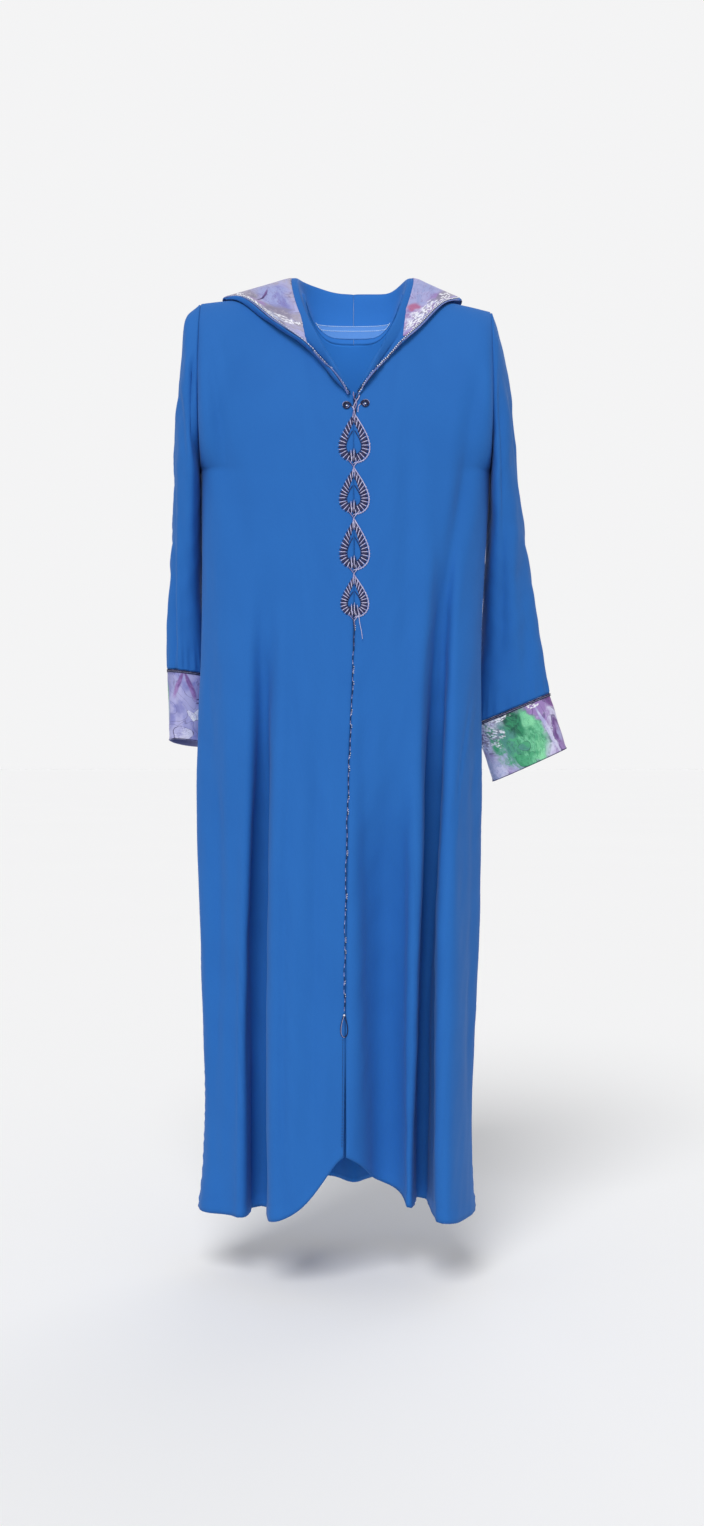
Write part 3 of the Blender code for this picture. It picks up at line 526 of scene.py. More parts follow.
class Nodes:
    """Adds and links nodes in one shader tree or group."""

    def __init__(self, tree: NodeTree) -> None:
        """Hold the tree."""
        self.tree = tree

    def put(self, socket: NodeSocket, value: object) -> None:
        """Link a socket to a socket, or set its value."""
        if isinstance(value, NodeSocket):
            self.tree.links.new(value, socket)
        else:
            socket.default_value = value

    def add(self, kind: str, inputs: dict = None, **settings: object) -> Node:
        """New node with its settings and inputs."""
        node = self.tree.nodes.new(f"ShaderNode{kind}")
        for key, value in settings.items():
            setattr(node, key, value)
        self.fill(node, inputs or {})
        return node

    def fill(self, node: Node, inputs: dict) -> None:
        """Link or set inputs of a node."""
        for key, value in inputs.items():
            self.put(node.inputs[key], value)

    def math(self, operation: str, *values: object) -> NodeSocket:
        """One Math node's result."""
        return self.add("Math", dict(enumerate(values)), operation=operation).outputs[0]

    def times(self, a: object, b: object) -> NodeSocket:
        """Product of two values."""
        return self.math("MULTIPLY", a, b)

    def scaled(self, value: object, by: object, plus: object) -> NodeSocket:
        """A value scaled, with another added to it."""
        return self.math("MULTIPLY_ADD", value, by, plus)

    def vector(self, operation: str, *values: object) -> NodeSocket:
        """One Vector Math node's result."""
        return self.add("VectorMath", dict(enumerate(values)), operation=operation).outputs[0]

    def step(self, value: object, low: float, high: float) -> NodeSocket:
        """Smooth mask: 0 at low and 1 at high."""
        inputs = {"Value": value, "From Min": low, "From Max": high}
        return self.add("MapRange", inputs, interpolation_type="SMOOTHSTEP").outputs["Result"]

    def noise(self, vector: object, scale: float, detail: float = 2.0,
              twist: float = 0.0) -> NodeSocket:
        """Noise texture's value."""
        inputs = {"Vector": vector, "Scale": scale, "Detail": detail, "Distortion": twist}
        return self.add("TexNoise", inputs).outputs["Fac"]

    def blend(self, mask: object, under: object, over: object, kind: str = "MIX") -> NodeSocket:
        """Colour laid over another by a mask."""
        node = self.add("Mix", {"Factor": mask}, data_type="RGBA", blend_type=kind)
        self.put(node.inputs[6], under)
        self.put(node.inputs[7], over)
        return node.outputs[2]

    def ramp(self, value: object, stops: tuple) -> NodeSocket:
        """Colour ramp through (place, colour) stops."""
        node = self.add("ValToRGB", {"Fac": value})
        ramp = node.color_ramp
        while len(ramp.elements) < len(stops):
            ramp.elements.new(1.0)
        for element, (place, colour) in zip(ramp.elements, stops):
            element.position = place
            element.color = colour
        return node.outputs["Color"]


def linear(red: float, green: float, blue: float) -> tuple:
    """Scene colour of a display colour given from 0 to 255."""
    parts = [c / 255.0 for c in (red, green, blue)]
    return (*(c / 12.92 if c <= 0.04045 else ((c + 0.055) / 1.055) ** 2.4 for c in parts), 1.0)


def new_group(name: str, inputs: dict, outputs: dict) -> tuple:
    """Empty node group.

    Args:
        name: the group's name.
        inputs: socket kinds by name.
        outputs: socket kinds by name.

    Returns:
        The group, its Nodes, the sockets that bring values in and those that take them out.
    """
    group = bpy.data.node_groups.new(name, "ShaderNodeTree")
    for in_out, sockets in (("INPUT", inputs), ("OUTPUT", outputs)):
        for socket, kind in sockets.items():
            group.interface.new_socket(name=socket, in_out=in_out, socket_type=f"NodeSocket{kind}")
    inside, out = (group.nodes.new(f"NodeGroup{kind}") for kind in ("Input", "Output"))
    return group, Nodes(group), inside.outputs, out.inputs


class EffectGroups:
    """Node groups that more than one material uses, each made once."""

    def __init__(self) -> None:
        """Make every group."""
        self.weave = self.make_weave()
        self.watercolour = self.make_watercolour()
        self.petal = self.make_petal()
        self.lustre = self.make_lustre()
        self.twist = self.make_twist()

    def make_weave(self) -> NodeTree:
        """Crossing threads and crepe grain, as a height, with a slow mottle."""
        group, n, inside, out = new_group(
            "cloth weave", {"Vector": "Vector", "Pitch": "Float"}, {"Height": "Float", "Mottle": "Float"}
        )
        size = n.add("CombineXYZ", {i: inside["Pitch"] for i in range(3)}).outputs[0]
        counted = n.vector("DIVIDE", inside["Vector"], size)
        warp = n.noise(n.vector("MULTIPLY", counted, (1.0, 0.12, 1.0)), 1.0, 1.0)
        weft = n.noise(n.vector("MULTIPLY", counted, (0.12, 1.0, 1.0)), 1.0, 1.0)
        threads = n.math("ADD", warp, weft)
        grain = n.noise(counted, 0.55, 2.0)
        n.put(out["Height"], n.scaled(grain, 0.7, threads))
        n.put(out["Mottle"], n.noise(inside["Vector"], 9.0, 2.0))
        return group

    def make_watercolour(self) -> NodeTree:
        """Washed print ground: two soft tints that bleed into each other, and a thin drawn line."""
        group, n, inside, out = new_group(
            "watercolour wash",
            {"Vector": "Vector", "Scale": "Float", "Light": "Color", "Deep": "Color"},
            {"Color": "Color", "Line": "Float"},
        )
        scaled = n.vector("MULTIPLY", inside["Vector"], inside["Scale"])
        wash = n.noise(scaled, 1.0, 3.0, 1.2)
        fine = n.noise(scaled, 5.0, 4.0, 0.6)
        blot = n.scaled(fine, 0.3, wash)
        n.put(out["Color"], n.blend(n.step(blot, 0.50, 0.80), inside["Light"], inside["Deep"]))
        edge = n.math("ABSOLUTE", n.math("SUBTRACT", n.noise(scaled, 0.8, 1.5, 2.4), 0.5))
        n.put(out["Line"], n.step(edge, 0.016, 0.004))
        return group

    @staticmethod
    def own_place(n: Nodes, inside: object) -> tuple:
        """The vector turned by the group's angle, and its two places as shares of the group's size."""
        turned = n.add("VectorRotate", {
            "Vector": inside["Vector"], "Center": inside["Centre"], "Angle": inside["Angle"],
        }, rotation_type="Z_AXIS").outputs[0]
        split = n.add("SeparateXYZ", {0: n.vector("SUBTRACT", turned, inside["Centre"])})
        x = n.math("DIVIDE", split.outputs[0], inside["Length"])
        y = n.math("DIVIDE", split.outputs[1], inside["Width"])
        return turned, x, y

    def make_petal(self) -> NodeTree:
        """One painted petal: its filled shape, its outline with the veins, and its shading."""
        group, n, inside, out = new_group(
            "painted petal",
            {"Vector": "Vector", "Centre": "Vector", "Angle": "Float", "Length": "Float", "Width": "Float",
             "Drawn": "Float"},
            {"Fill": "Float", "Line": "Float", "Shade": "Float"},
        )
        _, x, y = self.own_place(n, inside)
        wobble = n.math("SUBTRACT", n.noise(inside["Vector"], 42.0, 5.0, 0.8), 0.5)
        y = n.scaled(wobble, 1.3, y)
        x = n.scaled(wobble, -0.8, x)
        across = n.math("DIVIDE", y, n.math("MAXIMUM", n.scaled(x, -0.35, 1.0), 0.2))
        far = n.math("SQRT", n.math("ADD", n.times(x, x), n.times(across, across)))
        rim = n.math("SUBTRACT", 1.0, far)
        sharp = n.math("SUBTRACT", 0.42, n.times(inside["Drawn"], 0.30))
        n.put(out["Fill"], n.step(rim, -0.12, sharp))
        stretched = {0: n.times(x, 0.9), 1: n.times(y, 5.5)}
        streak = n.add("CombineXYZ", stretched).outputs[0]
        grain = n.noise(streak, 1.3, 4.0, 0.7)
        broken = n.step(n.noise(inside["Vector"], 130.0, 2.0), 0.36, 0.54)
        outline = n.times(n.step(n.math("ABSOLUTE", rim), 0.070, 0.015), broken)
        outline = n.times(outline, n.scaled(inside["Drawn"], 0.75, 0.10))
        vein = n.step(n.math("ABSOLUTE", n.math("SUBTRACT", grain, 0.50)), 0.022, 0.004)
        vein = n.times(vein, n.step(rim, 0.05, 0.25))
        vein = n.times(vein, n.times(broken, 0.60))
        n.put(out["Line"], n.math("MAXIMUM", outline, vein))
        blots = n.noise(inside["Vector"], 75.0, 4.0, 1.0)
        shade = n.scaled(grain, 0.55, n.times(x, 0.16))
        shade = n.scaled(blots, 0.75, shade)
        n.put(out["Shade"], n.scaled(across, 0.10, shade))
        return group

    def make_lustre(self) -> NodeTree:
        """Patch of slanting metal stitches: bright flecks that are painted glints and dark flecks that are
        painted dark reflections, about a centre.
        """
        group, n, inside, out = new_group(
            "metal brocade",
            {"Vector": "Vector", "Centre": "Vector", "Angle": "Float", "Length": "Float", "Width": "Float"},
            {"Bright": "Float", "Dark": "Float"},
        )
        turned, x, y = self.own_place(n, inside)
        x = n.math("ABSOLUTE", x)
        y = n.math("ABSOLUTE", y)
        far = n.math("SQRT", n.math("ADD", n.math("POWER", x, 2.0), n.math("POWER", y, 2.0)))
        ragged = n.scaled(n.noise(inside["Vector"], 90.0, 3.0), -1.5, 1.75)
        patch = n.step(n.math("SUBTRACT", ragged, far), -0.05, 0.15)
        slant = n.vector("MULTIPLY", turned, (0.45, 1.0, 1.0))
        cells = n.add("TexVoronoi", {"Vector": slant, "Scale": 420.0}, feature="F1", voronoi_dimensions="2D")
        pick = n.add("SeparateXYZ", {0: cells.outputs["Color"]})
        near = n.step(cells.outputs["Distance"], 0.60, 0.36)
        n.put(out["Bright"], n.times(n.times(patch, near), n.step(pick.outputs[0], 0.34, 0.42)))
        n.put(out["Dark"], n.times(patch, n.step(pick.outputs[0], 0.26, 0.18)))
        return group

    def make_twist(self) -> NodeTree:
        """Slanting plies of a twisted thread, as a height, with a slow change of tone."""
        group, n, inside, out = new_group(
            "thread twist", {"Vector": "Vector", "Pitch": "Float"}, {"Height": "Float", "Tone": "Float"}
        )
        split = n.add("SeparateXYZ", {0: inside["Vector"]})
        slant = n.math("ADD", split.outputs[0], n.times(split.outputs[2], 1.4))
        turns = n.math("DIVIDE", slant, inside["Pitch"])
        n.put(out["Height"], n.math("SINE", n.times(turns, 2.0 * pi)))
        n.put(out["Tone"], n.noise(inside["Vector"], 420.0, 2.0))
        return group


def new_material(name: str) -> tuple:
    """Empty Principled material: the material, its Nodes and its shader."""
    material = bpy.data.materials.new(name)
    material.use_nodes = True
    nodes = Nodes(material.node_tree)
    return material, nodes, material.node_tree.nodes["Principled BSDF"]


def bump(n: Nodes, shader: Node, height: object, strength: float, distance: float) -> None:
    """Bump from a height into the shader's normal."""
    node = n.add("Bump", {"Height": height, "Strength": strength, "Distance": distance})
    n.put(shader.inputs["Normal"], node.outputs["Normal"])


@dataclass(frozen=True)
class Crepe:
    """Matt crepe with a soft sheen, woven from one colour."""

    name: str
    colour: tuple
    shade: tuple
    pitch: float = 0.0007
    roughness: float = 0.72
    grain: float = 0.22

    def make(self, groups: EffectGroups) -> Material:
        """The finished material."""
        material, n, shader = new_material(self.name)
        place = n.add("UVMap", uv_map="cloth").outputs["UV"]
        weave = n.add("Group", {"Vector": place, "Pitch": self.pitch}, node_tree=groups.weave)
        slow = n.times(n.step(weave.outputs["Mottle"], 0.30, 0.75), 0.35)
        colour = n.blend(slow, self.colour, self.shade)
        # The weave's low points are painted darker towards the shade colour: painted shade in the hollows
        # between the threads.
        weave_hollow_shade = n.times(n.step(weave.outputs["Height"], 1.6, 1.0), 0.30)
        n.fill(shader, {
            "Base Color": n.blend(weave_hollow_shade, colour, self.shade),
            "Roughness": n.scaled(weave.outputs["Height"], 0.06, self.roughness),
            "Sheen Weight": 0.10, "Sheen Roughness": 0.5, "Sheen Tint": (0.45, 0.65, 1.0, 1.0),
            "Specular IOR Level": 0.22,
        })
        bump(n, shader, weave.outputs["Height"], self.grain, 0.0003)
        return material


@dataclass(frozen=True)
class Petal:
    """One petal of the print, placed in the cloth's own metres."""

    centre: tuple
    length: float
    width: float
    angle: float
    light: tuple
    deep: tuple
    line: tuple
    drawn: float = 0.4


@dataclass(frozen=True)
class Lustre:
    """One patch of metal stitches with painted glints, placed in the cloth's own metres."""

    centre: tuple
    length: float
    width: float
    angle: float


LILAC = linear(168, 168, 212)
LAVENDER = linear(126, 128, 188)
PALE = linear(206, 206, 232)
MIST = linear(176, 186, 216)
SMOKE = linear(132, 126, 150)
ASH = linear(166, 160, 178)
INK = linear(58, 44, 96)
EMERALD = linear(50, 142, 100)
MINT = linear(112, 196, 150)
JADE = linear(76, 168, 122)
FOREST = linear(20, 84, 70)
TEAL = linear(78, 142, 132)
MEADOW = linear(134, 214, 164)
PLUM = linear(110, 78, 140)
ORCHID = linear(152, 124, 182)
MAGENTA = linear(146, 88, 164)
ROSE = linear(178, 110, 148)
PEARL = linear(236, 238, 246)
HAZE = linear(150, 158, 206)


@dataclass(frozen=True)
class Brocade:
    """Printed brocade: a lilac wash, drawn flowers and patches of silver thread with painted glints.

    petals and patches are rows: x, y, length, width and angle, and for a petal its light tint, deep tint,
    line colour and how far it is drawn.
    """

    name: str
    petals: tuple
    patches: tuple
    light: tuple = LILAC
    deep: tuple = LAVENDER
    shift: tuple = (0.0, 0.0, 0.0)
    wash_scale: float = 24.0
    line_share: float = 0.55
    pitch: float = 0.0009

    def painted(self, n: Nodes, groups: EffectGroups, place: object) -> NodeSocket:
        """The wash with its drawn lines and its petals.

        Args:
            n: the material's nodes.
            groups: the shared groups.
            place: the cloth's coordinates.

        Returns:
            The colour.
        """
        wash = n.add("Group", {
            "Vector": n.vector("ADD", place, self.shift), "Scale": self.wash_scale,
            "Light": self.light, "Deep": self.deep,
        }, node_tree=groups.watercolour)
        line = n.times(wash.outputs["Line"], self.line_share)
        colour = n.blend(line, wash.outputs["Color"], INK)
        for petal in (Petal(row[:2], *row[2:]) for row in self.petals):
            drawn = n.add("Group", {
                "Vector": place, "Centre": (*petal.centre, 0.0), "Angle": petal.angle,
                "Length": petal.length, "Width": petal.width, "Drawn": petal.drawn,
            }, node_tree=groups.petal)
            tint = n.blend(n.step(drawn.outputs["Shade"], 0.52, 0.78), petal.light, petal.deep)
            colour = n.blend(drawn.outputs["Fill"], colour, tint)
            colour = n.blend(drawn.outputs["Line"], colour, petal.line)
        return colour

    def make(self, groups: EffectGroups) -> Material:
        """The finished material."""
        material, n, shader = new_material(self.name)
        place = n.add("UVMap", uv_map="cloth").outputs["UV"]
        colour = self.painted(n, groups, place)
        metal = None
        for patch in (Lustre(row[:2], *row[2:]) for row in self.patches):
            flecks = n.add("Group", {
                "Vector": place, "Centre": (*patch.centre, 0.0), "Angle": patch.angle,
                "Length": patch.length, "Width": patch.width,
            }, node_tree=groups.lustre)
            # Silver stitches: dark flecks painted as dark reflections, then near-white flecks painted as
            # glints.
            colour = n.blend(n.times(flecks.outputs["Dark"], 0.7), colour, SMOKE)
            colour = n.blend(flecks.outputs["Bright"], colour, PEARL)
            bright = flecks.outputs["Bright"]
            metal = bright if metal is None else n.math("MAXIMUM", metal, bright)
        n.fill(shader, {
            "Base Color": colour, "Metallic": n.times(metal, 0.15),
            "Roughness": n.scaled(metal, -0.30, 0.58), "Sheen Weight": 0.08, "Specular IOR Level": 0.35,
        })
        weave = n.add("Group", {"Vector": place, "Pitch": self.pitch}, node_tree=groups.weave)
        height = n.scaled(metal, 1.2, weave.outputs["Height"])
        bump(n, shader, height, 0.3, 0.0004)
        return material


@dataclass(frozen=True)
class Thread:
    """Twisted or satin thread, plain or part metal."""

    name: str
    colour: tuple
    shade: tuple
    metal: float = 0.0
    roughness: float = 0.45
    pitch: float = 0.0011

    def make(self, groups: EffectGroups) -> Material:
        """The finished material."""
        material, n, shader = new_material(self.name)
        place = n.add("TexCoord").outputs["Object"]
        twist = n.add("Group", {"Vector": place, "Pitch": self.pitch}, node_tree=groups.twist)
        tone = n.step(twist.outputs["Tone"], 0.3, 0.7)
        colour = n.blend(tone, self.colour, self.shade)
        # The grooves between the plies are painted darker: painted shade in the grooves.
        groove_shade = n.times(n.step(twist.outputs["Height"], 0.2, -0.9), 0.5)
        n.fill(shader, {
            "Base Color": n.blend(groove_shade, colour, self.shade), "Metallic": self.metal,
            "Roughness": n.scaled(tone, 0.12, self.roughness),
        })
        bump(n, shader, twist.outputs["Height"], 0.35, 0.0002)
        return material


# Prints of the cuffs: u runs from the outer edge across the front and back again, v down from the seam
CUFF_PRINTS = {
    Side.LEFT: Brocade(
        "brocade green bloom",
        petals=(
            (0.14, 0.078, 0.03, 0.026, 0.3, PALE, MIST, LAVENDER, 0.0),
            (0.112, 0.05, 0.05, 0.016, 1.15, MIST, JADE, FOREST, 0.0),
            (0.092, 0.05, 0.046, 0.02, 1.15, JADE, TEAL, FOREST, 0.2),
            (0.066, 0.044, 0.046, 0.025, 1.45, MINT, EMERALD, FOREST, 0.3),
            (0.086, 0.018, 0.026, 0.015, 0.9, EMERALD, FOREST, FOREST, 0.1),
            (0.064, 0.022, 0.018, 0.01, 1.2, MEADOW, MINT, EMERALD, 0.0),
            (0.058, 0.07, 0.024, 0.008, 1.6, MEADOW, JADE, FOREST, 0.3),
            (0.088, 0.078, 0.014, 0.008, 0.9, JADE, EMERALD, FOREST, 1.0),
            (0.074, 0.082, 0.012, 0.006, 1.9, MINT, JADE, FOREST, 1.0),
            (0.08, 0.06, 0.01, 0.006, 0.2, JADE, TEAL, FOREST, 1.0),
            (0.036, 0.05, 0.05, 0.004, 1.35, PALE, LILAC, PLUM, 0.2),
            (0.008, 0.006, 0.022, 0.017, 0.4, MAGENTA, PLUM, INK, 0.5),
            (0.016, 0.06, 0.03, 0.013, 1.45, ORCHID, PLUM, INK, 0.8),
            (0.016, 0.056, 0.018, 0.006, 1.45, LILAC, ORCHID, PLUM, 0.3),
            (0.212, 0.04, 0.046, 0.026, 1.1, MINT, EMERALD, FOREST, 0.4),
            (0.19, 0.066, 0.024, 0.012, 0.2, MEADOW, JADE, FOREST, 0.8),
            (0.262, 0.034, 0.034, 0.018, 1.9, ORCHID, PLUM, INK, 0.6),
        ),
        patches=(
            (0.136, 0.02, 0.032, 0.024, 0.5),
            (0.106, 0.004, 0.02, 0.007, 0.0),
            (0.048, 0.005, 0.014, 0.007, 0.0),
            (0.236, 0.07, 0.028, 0.014, 0.7),
        ),
        shift=(0.31, 0.12, 0.0), light=PALE, deep=ORCHID,
    ),
    Side.RIGHT: Brocade(
        "brocade white bloom",
        petals=(
            (0.058, 0.022, 0.026, 0.0045, 1.15, ORCHID, PLUM, PLUM, 0.1),
            (0.078, 0.022, 0.026, 0.0045, 2.00, ORCHID, PLUM, PLUM, 0.1),
            (0.092, 0.062, 0.011, 0.006, 0.8, PEARL, PALE, INK, 1.0),
            (0.08, 0.066, 0.009, 0.005, 2.3, PEARL, PALE, INK, 1.0),
            (0.103, 0.066, 0.008, 0.0045, 1.6, PEARL, PALE, INK, 1.0),
            (0.066, 0.094, 0.017, 0.012, 0.2, LILAC, PALE, INK, 1.0),
            (0.098, 0.04, 0.012, 0.0012, 0.1, INK, INK, INK, 0.0),
            (0.098, 0.046, 0.012, 0.0012, 0.1, INK, INK, INK, 0.0),
            (0.006, 0.04, 0.045, 0.018, 1.5, MIST, JADE, FOREST, 0.2),
            (0.25, 0.046, 0.046, 0.022, 1.4, MINT, EMERALD, FOREST, 0.4),
            (0.176, 0.04, 0.036, 0.018, 1.0, ORCHID, PLUM, INK, 0.6),
        ),
        patches=(
            (0.214, 0.026, 0.026, 0.016, 0.6),
            (0.15, 0.088, 0.02, 0.01, 0.2),
        ),
        shift=(0.07, 0.43, 0.0), light=LILAC, deep=LAVENDER, wash_scale=20.0, line_share=0.40,
    ),
}

# Prints of the lapels: u runs from the shoulder's tip down to the V, v in from the face edge
LAPEL_PRINTS = {
    Side.RIGHT: Brocade(
        "brocade lapel right",
        petals=(
            (0.016, 0.022, 0.03, 0.016, 0.5, ASH, SMOKE, INK, 0.2),
            (0.034, 0.058, 0.04, 0.024, 0.2, HAZE, LAVENDER, PLUM, 0.1),
            (0.052, 0.03, 0.034, 0.012, 2.6, ASH, ORCHID, SMOKE, 0.1),
            (0.074, 0.034, 0.036, 0.022, 0.9, SMOKE, ASH, SMOKE, 0.1),
            (0.1, 0.016, 0.03, 0.01, 0.2, MIST, SMOKE, SMOKE, 0.1),
            (0.026, 0.04, 0.03, 0.0016, 0.9, PLUM, INK, INK, 0.0),
            (-0.06, 0.044, 0.044, 0.022, 0.3, MINT, EMERALD, FOREST, 0.4),
            (-0.13, 0.04, 0.04, 0.022, 2.4, ORCHID, PLUM, INK, 0.4),
        ),
        patches=(
            (0.086, 0.03, 0.024, 0.012, 2.3),
            (0.062, 0.012, 0.04, 0.006, 0.0),
            (0.098, 0.05, 0.006, 0.016, 0.2),
            (0.012, 0.018, 0.022, 0.007, 0.2),
            (-0.1, 0.03, 0.026, 0.014, 0.9),
        ),
        shift=(0.52, 0.30, 0.0), light=LILAC, deep=ASH,
    ),
    Side.LEFT: Brocade(
        "brocade lapel left",
        petals=(
            (0.02, 0.052, 0.034, 0.022, 0.4, HAZE, LILAC, PLUM, 0.1),
            (0.048, 0.042, 0.014, 0.009, 0.9, ROSE, ROSE, PLUM, 0.0),
            (0.07, 0.04, 0.034, 0.014, 2.6, ORCHID, PALE, PLUM, 0.1),
            (0.006, 0.022, 0.026, 0.01, 0.2, ASH, SMOKE, SMOKE, 0.1),
            (0.096, 0.03, 0.022, 0.01, 0.3, PALE, ORCHID, PLUM, 0.1),
            (-0.064, 0.04, 0.04, 0.022, 0.6, ORCHID, PLUM, INK, 0.4),
            (-0.136, 0.044, 0.044, 0.024, 2.2, MINT, EMERALD, FOREST, 0.4),
        ),
        patches=(
            (0.034, 0.02, 0.036, 0.012, 0.0),
            (0.07, 0.022, 0.022, 0.012, 0.3),
            (0.096, 0.018, 0.016, 0.009, 0.0),
            (-0.094, 0.02, 0.024, 0.012, 0.3),
        ),
        shift=(0.11, 0.77, 0.0), light=LILAC, deep=ORCHID,
    ),
}


@dataclass
class Finishes:
    """Every finish of the robe, made once."""

    groups: EffectGroups = field(default_factory=EffectGroups)

    def __post_init__(self) -> None:
        """Make the materials."""
        g = self.groups
        self.crepe = Crepe("blue crepe", (0.0168, 0.134, 0.452, 1.0), (0.0120, 0.110, 0.396, 1.0)).make(g)
        # Inside faces of the panels and sleeves: the same crepe painted lighter, as painted light standing in
        # for light that does not reach inside the robe.
        self.inside_painted_light = Crepe("blue crepe inside painted lighter", (0.022, 0.170, 0.560, 1.0), (0.018, 0.145, 0.500, 1.0),
                            roughness=0.8).make(g)
        self.print_back = Crepe("brocade back", linear(128, 130, 172), linear(108, 112, 158),
                                pitch=0.0009).make(g)
        self.tape = Crepe("sheer tape", linear(74, 124, 192), linear(86, 136, 202), pitch=0.0012).make(g)
        threads = (
            ("silver", "silver thread", (214, 212, 236), (166, 164, 208), 0.25, 0.32),
            ("mauve", "mauve satin thread", (160, 152, 190), (120, 114, 162), 0.15, 0.38),
            ("dusk", "dark mauve thread and painted rib shade", (34, 32, 88), (20, 22, 68), 0.05, 0.50),
            ("navy", "navy thread", (16, 30, 84), (8, 16, 52), 0.05, 0.50),
            ("white", "white thread", (196, 222, 246), (168, 200, 238), 0.0, 0.55),
            ("bead", "silver bead", (250, 250, 255), (226, 228, 240), 0.25, 0.16, 0.01),
            ("grey", "lilac braid", (128, 148, 204), (100, 120, 188), 0.10, 0.45),
        )
        for key, name, colour, shade, *rest in threads:
            setattr(self, key, Thread(name, linear(*colour), linear(*shade), *rest).make(g))
        self.cuff = {side: brocade.make(g) for side, brocade in CUFF_PRINTS.items()}
        self.facing = {side: brocade.make(g) for side, brocade in LAPEL_PRINTS.items()}


# --- thread work


@dataclass
class ThreadWork:
    """Collects many small stitches and beads into one mesh.

    segments and bands are a stitch's faces round and along it. The ply values are a rope's plies, as shares
    of its width: their spacing, how far the way along is read, their slant and their size.
    """

    name: str
    materials: tuple
    segments: int = 6
    bands: int = 4
    ply_pitch: float = 0.95
    ply_reach: float = 0.4
    ply_slant: float = 0.55
    ply_size: tuple = (1.9, 0.8, 0.85)
    pole: float = 0.14
    parts: list = field(default_factory=list)

    def capsule(self) -> tuple:
        """Unit stitch along X: its points and its four-cornered faces."""
        turns = np.linspace(0.0, 2.0 * pi, self.segments, endpoint=False)
        rises = np.linspace(self.pole, pi - self.pole, self.bands)
        rings = np.array([[(-cos(r), sin(r) * cos(t), sin(r) * sin(t)) for t in turns] for r in rises])
        points = rings.reshape(-1, 3)
        faces = []
        for band in range(self.bands - 1):
            for k in range(self.segments):
                after = (k + 1) % self.segments
                low = band * self.segments
                faces.append((low + k, low + after, low + self.segments + after, low + self.segments + k))
        return points * 0.5, np.array(faces)

    def add(self, centres: Array, along: Array, up: Array, size: tuple,
            finish: int = 0) -> None:
        """Lay stitches.

        Args:
            centres: their middles.
            along: the way each one runs, with its length in metres when size[0] is 0.
            up: the way out of the cloth.
            size: length, width and thickness in metres.
            finish: which of the materials they take.
        """
        centres, along, up = (np.atleast_2d(np.asarray(a, float)) for a in (centres, along, up))
        along, up = np.broadcast_to(along, centres.shape), np.broadcast_to(up, centres.shape)
        length = np.linalg.norm(along, axis=1) if size[0] == 0.0 else np.full(len(centres), size[0])
        x = unit(along)
        y = unit(np.cross(up, x))
        z = np.cross(x, y)
        frames = np.stack([x * length[:, None], y * size[1], z * size[2]], axis=1)
        points, faces = self.capsule()
        laid = np.einsum("pk,nkj->npj", points, frames) + centres[:, None]
        shifted = faces[None] + (np.arange(len(centres)) * len(points))[:, None, None]
        self.parts.append((laid.reshape(-1, 3), shifted.reshape(-1, 4), finish))

    def rope(self, path: Array, up: Array, width: float, finish: int = 0,
             lift: float = 0.5) -> None:
        """Lay a twisted cord along a path as slanting plies, standing on the cloth."""
        run = run_along(path)
        places = np.arange(0.0, run[-1], width * self.ply_pitch)
        reach = width * self.ply_reach
        way = unit(read_at(path, run, places + reach) - read_at(path, run, places - reach))
        out = unit(read_at(np.broadcast_to(up, path.shape), run, places))
        slant = way + self.ply_slant * np.cross(out, way)
        size = tuple(width * share for share in self.ply_size)
        self.add(read_at(path, run, places) + out * width * lift, slant, out, size, finish)

    def build(self) -> Object:
        """One mesh object of all the stitches."""
        points = np.concatenate([p for p, _, _ in self.parts])
        starts = np.cumsum([0] + [len(p) for p, _, _ in self.parts])
        quads = np.concatenate([f + s for (_, f, _), s in zip(self.parts, starts)])
        finish = np.concatenate([np.full(len(f), k) for _, f, k in self.parts])
        obj = mesh_object(self.name, points, quads, self.materials)
        obj.data.polygons.foreach_set("material_index", finish.astype(np.int32))
        work = bmesh.new()
        work.from_mesh(obj.data)
        edges = [edge for edge in work.edges if edge.is_boundary]
        filled = bmesh.ops.holes_fill(work, edges=edges, sides=self.segments)["faces"]
        for face in filled:
            face.smooth = True
            face.material_index = next(iter(face.edges[0].link_faces)).material_index
        bmesh.ops.recalc_face_normals(work, faces=work.faces[:])
        work.to_mesh(obj.data)
        work.free()
        return obj


# --- joining the frame


def settle_piece(obj: Object, nodes: tuple) -> None:
    """Hand one piece to the frame: it rides on the body, and replaces its plain nodes."""
    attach(obj, BODY)
    if nodes:
        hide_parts(*nodes)
    LOG.info("%s: %d faces", obj.name, len(obj.data.polygons))


# --- body panels


